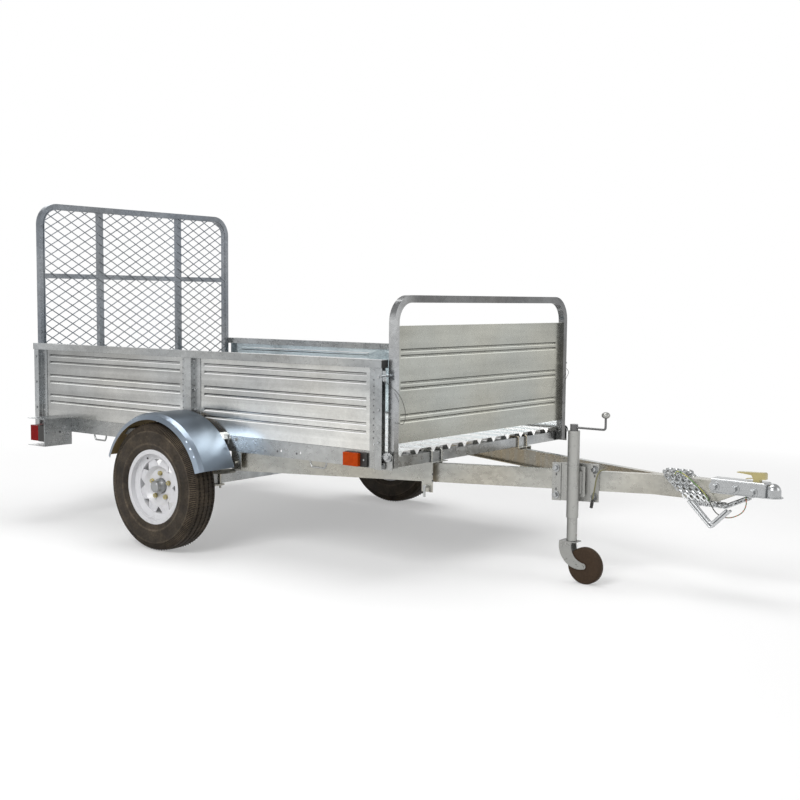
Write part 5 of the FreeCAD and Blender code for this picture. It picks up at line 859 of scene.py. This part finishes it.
# The angle past which edges stay sharp, how far they are eased, and the parts
EASED = (
    (20, 0.0, ("deck_sheet",)),
    (24, 0.0, ("fender_right", "fender_left")),
    (25, 0.0, ("leaf_springs",)),
    (28, 0.0, ("side_panels", "front_gate_panel")),
    (30, 0.0006, ("jack_bracket", "tail_lamp_brackets")),
    (30, 0.0008, ("posts",)),
    (30, 0.0010, ("side_rails", "rail_plugs")),
    (30, 0.0015, ("marker_bases",)),
    (30, 0.0016, ("top_rails", "drawbar_right", "drawbar_left")),
    (30, 0.0030, ("tail_lamp_housings",)),
    (35, 0.0, ("front_gate_hoop", "rear_gate_frame", "jack_crank", "jack_wheel", "spring_clamps")),
    (35, 0.0004, ("tongue_saddles", "tilt_pins")),
    (
        35, 0.0005, (
            "jack_leg", "caster_fork", "axle_beam", "front_gate_hinges", "rear_gate_hinges", "front_gate_latches",
            "tongue_pivots",
        ),
    ),
    (35, 0.0006, ("hub_right", "hub_left", "coupler_latch", "jack_tube")),
    (35, 0.0008, ("rim_right", "rim_left", "coupler")),
    (40, 0.0, ("tie_loops",)),
    (50, 0.0, ("hook_rods",)),
    (60, 0.0, ("safety_chains",)),
)
EASE_OF = {node: (angle, ease) for angle, ease, nodes in EASED for node in nodes}


class TRAILER_OT_finishes(bpy.types.Operator):
    """Gives every part carried over its finish, and eases the edges of the formed ones"""

    bl_idname = "trailer.finishes"
    bl_label = "Finishes"
    bl_options = UNDOABLE

    def execute(self, context):
        for node, name in FINISH_OF.items():
            part = NODES[node]
            for place in part.material_slots:
                place.material = finish(name)
            if not part.material_slots:
                part.data.materials.append(finish(name))
            if node in EASE_OF:
                smooth_copy(node, *EASE_OF[node])
        return {"FINISHED"}


# The cords


def routed(places, side=1):
    """A route from places ahead of the axle, left of the middle and above the floor."""
    return tuple(by_axle(ahead, side * left, up) for ahead, left, up in places)


LEAD_ROUTE = routed((
    (1.806, -0.088, 0.448), (1.803, -0.112, 0.450), (1.799, -0.132, 0.438), (1.797, -0.142, 0.415),
    (1.795, -0.146, 0.388), (1.790, -0.147, 0.360), (1.786, -0.148, 0.332),
))
LEAD_BORE = 0.006


def cord_piece(name, route, bore, finish_name, body, replaced=()):
    """A cord on one smooth curve through its route."""
    curve = bpy.data.curves.new(name, "CURVE")
    curve.dimensions = "3D"
    curve.bevel_depth = bore / 2
    curve.bevel_resolution = 4
    curve.resolution_u = 12
    curve.use_fill_caps = True
    line = curve.splines.new("NURBS")
    line.points.add(len(route) - 1)
    for point, place in zip(line.points, route):
        point.co = (*place, 1)
    line.order_u = 3
    line.use_endpoint_u = True
    return dressed(name, curve, body, finish_name, replaced)


PLUG_PROFILE = (
    (0.0, -0.001), (0.0042, -0.001), (0.0052, 0.003), (0.0048, 0.005), (0.0056, 0.006), (0.0056, 0.008),
    (0.0050, 0.009), (0.0058, 0.010), (0.0068, 0.013), (0.0069, 0.024), (0.0062, 0.025), (0.0062, 0.030),
    (0.0068, 0.031), (0.0066, 0.035), (0.0050, 0.0355), (0.0046, 0.031), (0.0, 0.031),
)


class TRAILER_OT_lead(bpy.types.Operator):
    """Makes the short wiring lead and its ribbed connector"""

    bl_idname = "trailer.lead"
    bl_label = "Wiring lead"
    bl_options = UNDOABLE

    def execute(self, context):
        cord = cord_piece("wiring_lead_cord", LEAD_ROUTE, LEAD_BORE, "cable_sheath", "drawbar", ("wiring_lead",))
        nearly, end = LEAD_ROUTE[-2:]
        bm = bmesh.new()
        spun_piece(bm, PLUG_PROFILE, end, 28, False, (end - nearly).normalized())
        plug = piece_from(bm, "lead_plug", "drawbar", "black_plastic", 40, ("lead_connector",))
        return {"FINISHED"}


WIRE_ROUTE = routed((
    (2.085, -0.034, 0.443), (2.090, -0.044, 0.458), (2.105, -0.058, 0.470), (2.130, -0.0625, 0.464),
    (2.155, -0.0635, 0.449), (2.185, -0.0645, 0.427), (2.212, -0.0645, 0.406), (2.236, -0.0640, 0.378),
    (2.249, -0.060, 0.352), (2.262, -0.054, 0.326), (2.285, -0.048, 0.309), (2.315, -0.044, 0.306),
    (2.345, -0.040, 0.317), (2.368, -0.036, 0.335), (2.377, -0.031, 0.360), (2.376, -0.030, 0.384),
    (2.372, -0.030, 0.398),
))


class TRAILER_OT_wires(bpy.types.Operator):
    """Makes the thin wire that runs over the chains and loops up into the coupler"""

    bl_idname = "trailer.wires"
    bl_label = "Nose wire"
    bl_options = UNDOABLE

    def execute(self, context):
        bore = context.scene.trailer_sizes.wire_bore
        cord = cord_piece("nose_wire", WIRE_ROUTE, bore, "harness_wire", "drawbar")
        return {"FINISHED"}


LANYARD_ROUTE = (
    (1.1865, 0.659, 0.640), (1.192, 0.650, 0.634), (1.194, 0.630, 0.632), (1.193, 0.617, 0.650),
    (1.192, 0.616, 0.685), (1.191, 0.632, 0.722), (1.190, 0.655, 0.752), (1.188, 0.682, 0.772),
    (1.182, 0.697, 0.786), (1.168, 0.703, 0.797), (1.160, 0.704, 0.802),
)
RING_RADIUS, RING_WIRE = 0.0065, 0.0011
RING_FROM_END = Vector((-0.003, 0, 0.007))


class TRAILER_OT_lanyards(bpy.types.Operator):
    """Makes the thin lanyards of the front gate's pins, each with its split ring"""

    bl_idname = "trailer.lanyards"
    bl_label = "Lanyards"
    bl_options = UNDOABLE

    def execute(self, context):
        bore = context.scene.trailer_sizes.lanyard_bore
        for side, name in SIDE_NAMES.items():
            route = routed(LANYARD_ROUTE, side)
            cord = cord_piece(f"gate_lanyard_{name}", route, bore, "dark_wire", "front_gate")
            bm = bmesh.new()
            ring(bm, route[-1] + RING_FROM_END, (0, 1, 0), RING_RADIUS, RING_WIRE)
            end = piece_from(bm, f"gate_ring_{name}", "front_gate", "bright_zinc", 40)
        return {"FINISHED"}


# Wheels

TREAD = (
    (0.2560, 0.0655), (0.2620, 0.0638), (0.2665, 0.0618), (0.2715, 0.0598), (0.2772, 0.0565), (0.2800, 0.0535),
    (0.2816, 0.0490), (0.2828, 0.0405),
)
GROOVES = (0.0370, 0.0125)
GROOVE_HALF = 0.0024
CROWN = 2.0
SIDEWALL = (
    (0.2510, 0.0672), (0.2500, 0.0684), (0.2480, 0.0684), (0.2470, 0.0682), (0.2300, 0.0697), (0.2140, 0.0699),
    (0.1980, 0.0692), (0.1960, 0.0698), (0.1935, 0.0698), (0.1920, 0.0684), (0.1820, 0.0662), (0.1760, 0.0645),
    (0.1735, 0.0640), (0.1715, 0.0618), (0.1690, 0.0592), (0.1640, 0.0560), (0.1580, 0.0520),
)
SHOULDER = (0.2530, 0.2795)
SHOULDER_IN, RIBS_OUT = 0.055, 0.05
SHOULDER_LIP, RIB_LIP = 0.0004, 0.0003
RIB_EDGE = 0.003
TYRE_LOW, TYRE_HIGH = corners("tyre_right")
TYRE_RADIUS = (TYRE_HIGH.z - TYRE_LOW.z) / 2


def crown(along):
    """The radius of the tread at a place across it."""
    return TYRE_RADIUS - CROWN * along * along


def tyre_profile(depth):
    """Half of the tyre's section, from the bead to the middle of the tread."""
    line = [*reversed(SIDEWALL), *TREAD]
    for groove in GROOVES:
        lip, edge = GROOVE_HALF, GROOVE_HALF + RIB_EDGE
        line += [
            (crown(groove + edge), groove + edge), (crown(groove + lip), groove + lip),
            (crown(groove) - depth, groove + lip * 0.6), (crown(groove) - depth, groove - lip * 0.6),
            (crown(groove - lip), groove - lip), (crown(groove - edge), groove - edge),
        ]
    return line


class TRAILER_OT_tyres(bpy.types.Operator):
    """Makes both tyres, with grooved tread, notched shoulders and ringed sidewalls"""

    bl_idname = "trailer.tyres"
    bl_label = "Tyres"
    bl_options = UNDOABLE

    def execute(self, context):
        made_sizes = context.scene.trailer_sizes
        half = tyre_profile(made_sizes.tread_depth)
        profile = half + [(radius, -along) for radius, along in reversed(half)]
        for name in SIDE_NAMES.values():
            bm = bmesh.new()
            centre = middle(f"tyre_{name}")
            spun_piece(bm, profile, centre, made_sizes.tread_steps, True)
            self.notch(bm, centre, made_sizes)
            piece_from(
                bm, f"tyre_{name}_tread", f"wheel_{name}", "tyre_rubber", 30, (f"tyre_{name}",), "deep_rubber"
            )
        return {"FINISHED"}

    def notch(self, bm, centre, made_sizes):
        """Sinks every other step of the shoulders, and of the edges of the ribs, and gives the sunk faces and those
        beside them the darker rubber as painted shade.
        """
        shoulders, ribs = [], []
        step = math.tau / made_sizes.tread_steps
        for face in bm.faces:
            place = face.calc_center_median() - centre
            radius = math.hypot(place.x, place.z)
            turn = math.floor((math.atan2(place.z, place.x) % math.tau) / step + 0.01)
            across = abs(place.y)
            if SHOULDER[0] < radius < SHOULDER[1] and SHOULDER_IN < across and turn % 2 == 0:
                shoulders.append(face)
            elif radius > crown(across) - 0.0006 and across < RIBS_OUT and turn % 4 == 0:
                if face.calc_area() < 1.1 * RIB_EDGE * step * TYRE_RADIUS:
                    ribs.append(face)
        depth = -made_sizes.sipe_depth
        bmesh.ops.inset_region(bm, faces=shoulders, thickness=SHOULDER_LIP, depth=depth, use_even_offset=True)
        bmesh.ops.inset_individual(bm, faces=ribs, thickness=RIB_LIP, depth=depth)
        for vert in bm.verts:
            out = Vector((vert.co.x - centre.x, 0, vert.co.z - centre.z))
            if out.length > TYRE_RADIUS:
                vert.co -= out.normalized() * (out.length - TYRE_RADIUS)
        # Painted shade: the notches' faces and those beside them take the darker second rubber
        for face in shoulders + ribs:
            for edge in face.edges:
                for near in edge.link_faces:
                    near.material_index = 1


STUD_CIRCLE = 0.1143 / 2
STUD_COUNT = 5
NUT_SEAT = 0.008
# Parts of a wheel nut and of a valve: low, high, and the radius at each end
NUT_SKIRT, NUT_TIP = (-0.001, 0.004), (0.0135, 0.0165, 0.0058, 0.0048)
VALVE_SPOT = Vector((-0.5, 0, 0.94)) * 0.128
VALVE_SEAT = 0.012
VALVE_STEM, VALVE_CAP = (-0.006, 0.010, 0.0052, 0.0042), (0.010, 0.022, 0.0040, 0.0038)


class TRAILER_OT_wheel_nuts(bpy.types.Operator):
    """Makes the wheel nuts and the tyre valves"""

    bl_idname = "trailer.wheel_nuts"
    bl_label = "Wheel nuts"
    bl_options = UNDOABLE

    def execute(self, context):
        across = context.scene.trailer_sizes.wheel_nut
        for side, name in SIDE_NAMES.items():
            centre = middle(f"tyre_{name}")
            out = Vector((0, side, 0))
            bm = bmesh.new()
            for number in range(STUD_COUNT):
                angle = math.pi / 2 + math.tau * number / STUD_COUNT
                spot = centre + STUD_CIRCLE * Vector((math.cos(angle), 0, math.sin(angle))) + out * NUT_SEAT
                drum(bm, spot, out, *NUT_SKIRT, across * 0.42, across * 0.58, segments=24)
                drum(
                    bm, spot, out, NUT_SKIRT[1], NUT_TIP[0], across / math.sqrt(3), segments=6, turn=angle,
                    soften=0.0012,
                )
                drum(bm, spot, out, *NUT_TIP, segments=16)
            piece_from(bm, f"wheel_nuts_{name}", f"wheel_{name}", "yellow_zinc")
            bm = bmesh.new()
            spot = centre + VALVE_SPOT + out * VALVE_SEAT
            drum(bm, spot, out, *VALVE_STEM, segments=16)
            drum(bm, spot, out, *VALVE_CAP, segments=12, soften=0.0005)
            piece_from(bm, f"valve_{name}", f"wheel_{name}", "black_plastic")
        return {"FINISHED"}


# Fastenings of the bed: places are ahead of the axle and up, widths and heights in bolt heads

END_POSTS, POST_FLANGES = (-1.127, 1.128), (-1.086, -0.038, 0.038, 1.087)
SIDE_BOLTS = (
    ("front_gate_hinges", ((1.131, 0.501), (1.131, 0.463)), 1.0, None, {"turn": 0.3}),
    ("front_gate_hinges", ((1.166, 0.503),), 1.25, None, {}),
    ("posts", ((0.045, 0.621), (0.045, 0.712)), 0.7, 0.35, {}),
    ("posts", tuple(product(END_POSTS, (0.560, 0.690, 0.820))), 0.62, 0.3, {"washer": False}),
    ("side_rails", tuple(product((-0.30, -0.16, 0.16, 0.30), (0.503,))), 0.8, None, {}),
)
LAMP_BOLTS = ((0.731, 0.477), (0.712, 0.434))
POST_RIVETS = tuple((ahead, up) for up in (0.547, 0.843) for ahead in POST_FLANGES)
POST_HOLES = tuple(product(POST_FLANGES, (0.573 + 0.026 * step for step in range(10))))
RAIL_HOLES = ((0.554, 0.473), (0.666, 0.473))
LAMP_HOLES = ((0.755, 0.0065), (0.784, 0.003), (0.834, 0.003))


class TRAILER_OT_bed_bolts(bpy.types.Operator):
    """Makes the bolts and rivets of the bed, its hinges, its fenders and its lamp brackets"""

    bl_idname = "trailer.bed_bolts"
    bl_label = "Bed bolts"
    bl_options = UNDOABLE

    def execute(self, context):
        head = context.scene.trailer_sizes.bolt_head
        bm = bmesh.new()
        for side in SIDE_NAMES:
            for node, places, wide, tall, looks in SIDE_BOLTS:
                for place in places:
                    bolt(bm, *beside(node, side, *place), head * wide, tall and head * tall, **looks)
            for left, up in LAMP_BOLTS:
                bolt(bm, *before("tail_lamp_brackets", side * left, up), head * 0.9)
            for place in POST_RIVETS:
                rivet(bm, *beside("posts", side, *place), 0.0048, 0.0026)
        piece_from(bm, "bed_bolts", "bed", "bright_zinc")
        return {"FINISHED"}


class TRAILER_OT_punched_rows(bpy.types.Operator):
    """Makes the rows of small holes down the flanges beside the posts, each a dark disc of painted shade"""

    bl_idname = "trailer.punched_rows"
    bl_label = "Punched rows"
    bl_options = UNDOABLE

    def execute(self, context):
        bm = bmesh.new()
        for side in SIDE_NAMES:
            for node, places, radius in (("posts", POST_HOLES, 0.0032), ("side_rails", RAIL_HOLES, 0.0048)):
                for place in places:
                    punched(bm, *beside(node, side, *place), radius)
            for left, radius in LAMP_HOLES:
                punched(bm, *before("tail_lamp_brackets", side * left, 0.455, 0), radius)
        piece_from(bm, "punched_rows", "bed", "hole_inside")
        return {"FINISHED"}


# The drawbar's fittings

BRACKET_LOW, BRACKET_HIGH = corners("jack_bracket")
STRAP_IN = 0.018
STRAPS = (BRACKET_LOW.x + STRAP_IN - AXLE.x, BRACKET_HIGH.x - STRAP_IN - AXLE.x)
STRAP_BOLTS, STRAP_HOLES = tuple(product(STRAPS, (0.340, 0.450))), tuple(product(STRAPS, (0.364, 0.424)))
COUPLER_BOLTS = ((2.248, 0.419), (2.328, 0.419), (2.399, 0.413))
SADDLE_HOLES = ((1.165, 0.374), (1.165, 0.402))


class TRAILER_OT_tongue_bolts(bpy.types.Operator):
    """Makes the bolts of the coupler and the jack bracket, and dark discs of painted shade for the holes beside them
    and in the saddles
    """

    bl_idname = "trailer.tongue_bolts"
    bl_label = "Tongue bolts"
    bl_options = UNDOABLE

    def execute(self, context):
        head = context.scene.trailer_sizes.bolt_head
        bm = bmesh.new()
        for side in SIDE_NAMES:
            for place in COUPLER_BOLTS:
                bolt(bm, *beside("coupler", side, *place), head * 1.4, turn=0.2)
        for place in STRAP_BOLTS:
            bolt(bm, *beside("jack_bracket", RIGHT, *place), head * 1.1, turn=0.4)
        piece_from(bm, "tongue_bolts", "drawbar", "bright_zinc")
        bm = bmesh.new()
        for place in STRAP_HOLES:
            punched(bm, *beside("jack_bracket", RIGHT, *place), 0.0052)
        for side in SIDE_NAMES:
            for place in SADDLE_HOLES:
                punched(bm, *beside("tongue_saddles", side, *place), 0.004)
        piece_from(bm, "tongue_holes", "drawbar", "hole_inside")
        return {"FINISHED"}


KNOB_WIDTH, KNOB_HEIGHT = 0.034, 0.026


class TRAILER_OT_crank_knob(bpy.types.Operator):
    """Makes the flattened ball on the end of the jack's crank"""

    bl_idname = "trailer.crank_knob"
    bl_label = "Crank knob"
    bl_options = UNDOABLE

    def execute(self, context):
        crank = NODES["jack_crank"]
        places = [crank.matrix_world @ vert.co for vert in crank.data.vertices]
        middle_height = max(place.z for place in places) - KNOB_HEIGHT / 2
        ball = [place for place in places if place.z > middle_height]
        centre = sum(ball, Vector()) / len(ball)
        centre.z = middle_height
        size = Matrix.Diagonal((KNOB_WIDTH / 2, KNOB_WIDTH / 2, KNOB_HEIGHT / 2, 1))
        bm = bmesh.new()
        bmesh.ops.create_uvsphere(
            bm, u_segments=28, v_segments=16, radius=1, matrix=Matrix.Translation(centre) @ size
        )
        piece_from(bm, "crank_knob", "jack", "silver_paint", 60)
        return {"FINISHED"}


MARKER_LOW, MARKER_HIGH = corners("marker_bases")
SCREW_IN = 0.015
LAMP_SCREW = (0, 0.0022, 0.0042, 0.0034)


class TRAILER_OT_lamp_screws(bpy.types.Operator):
    """Makes the screws of the side markers"""

    bl_idname = "trailer.lamp_screws"
    bl_label = "Lamp screws"
    bl_options = UNDOABLE

    def execute(self, context):
        ahead = MARKER_HIGH.x - SCREW_IN - AXLE.x
        up = (MARKER_LOW.z + MARKER_HIGH.z) / 2
        bm = bmesh.new()
        for side in SIDE_NAMES:
            drum(bm, *beside("marker_bases", side, ahead, up), *LAMP_SCREW, segments=18)
        piece_from(bm, "lamp_screws", "bed", "bright_zinc")
        return {"FINISHED"}


# Registration

OPERATORS = (
    TRAILER_OT_stage,
    TRAILER_OT_lead,
    TRAILER_OT_wires,
    TRAILER_OT_lanyards,
    TRAILER_OT_finishes,
    TRAILER_OT_tyres,
    TRAILER_OT_wheel_nuts,
    TRAILER_OT_bed_bolts,
    TRAILER_OT_punched_rows,
    TRAILER_OT_tongue_bolts,
    TRAILER_OT_crank_knob,
    TRAILER_OT_lamp_screws,
)


class TRAILER_PT_pieces(bpy.types.Panel):
    """Lists the trailer's pieces, sizes and colours"""

    bl_idname = "TRAILER_PT_pieces"
    bl_label = "Utility Trailer"
    bl_space_type = "VIEW_3D"
    bl_region_type = "UI"
    bl_category = "Trailer"

    def draw(self, context):
        for operator in OPERATORS:
            self.layout.operator(operator.bl_idname)
        for group in (context.scene.trailer_sizes, context.scene.trailer_colours):
            for name in group.__annotations__:
                self.layout.prop(group, name)


CLASSES = (TrailerSizes, TrailerColours, *OPERATORS, TRAILER_PT_pieces)


def register():
    for made in CLASSES:
        bpy.utils.register_class(made)
    bpy.types.Scene.trailer_sizes = PointerProperty(type=TrailerSizes)
    bpy.types.Scene.trailer_colours = PointerProperty(type=TrailerColours)


def unregister():
    del bpy.types.Scene.trailer_sizes
    del bpy.types.Scene.trailer_colours
    for made in reversed(CLASSES):
        bpy.utils.unregister_class(made)


def main():
    register()
    for operator in OPERATORS:
        group, call = operator.bl_idname.split(".")
        getattr(getattr(bpy.ops, group), call)()


if __name__ == "__main__":
    main()
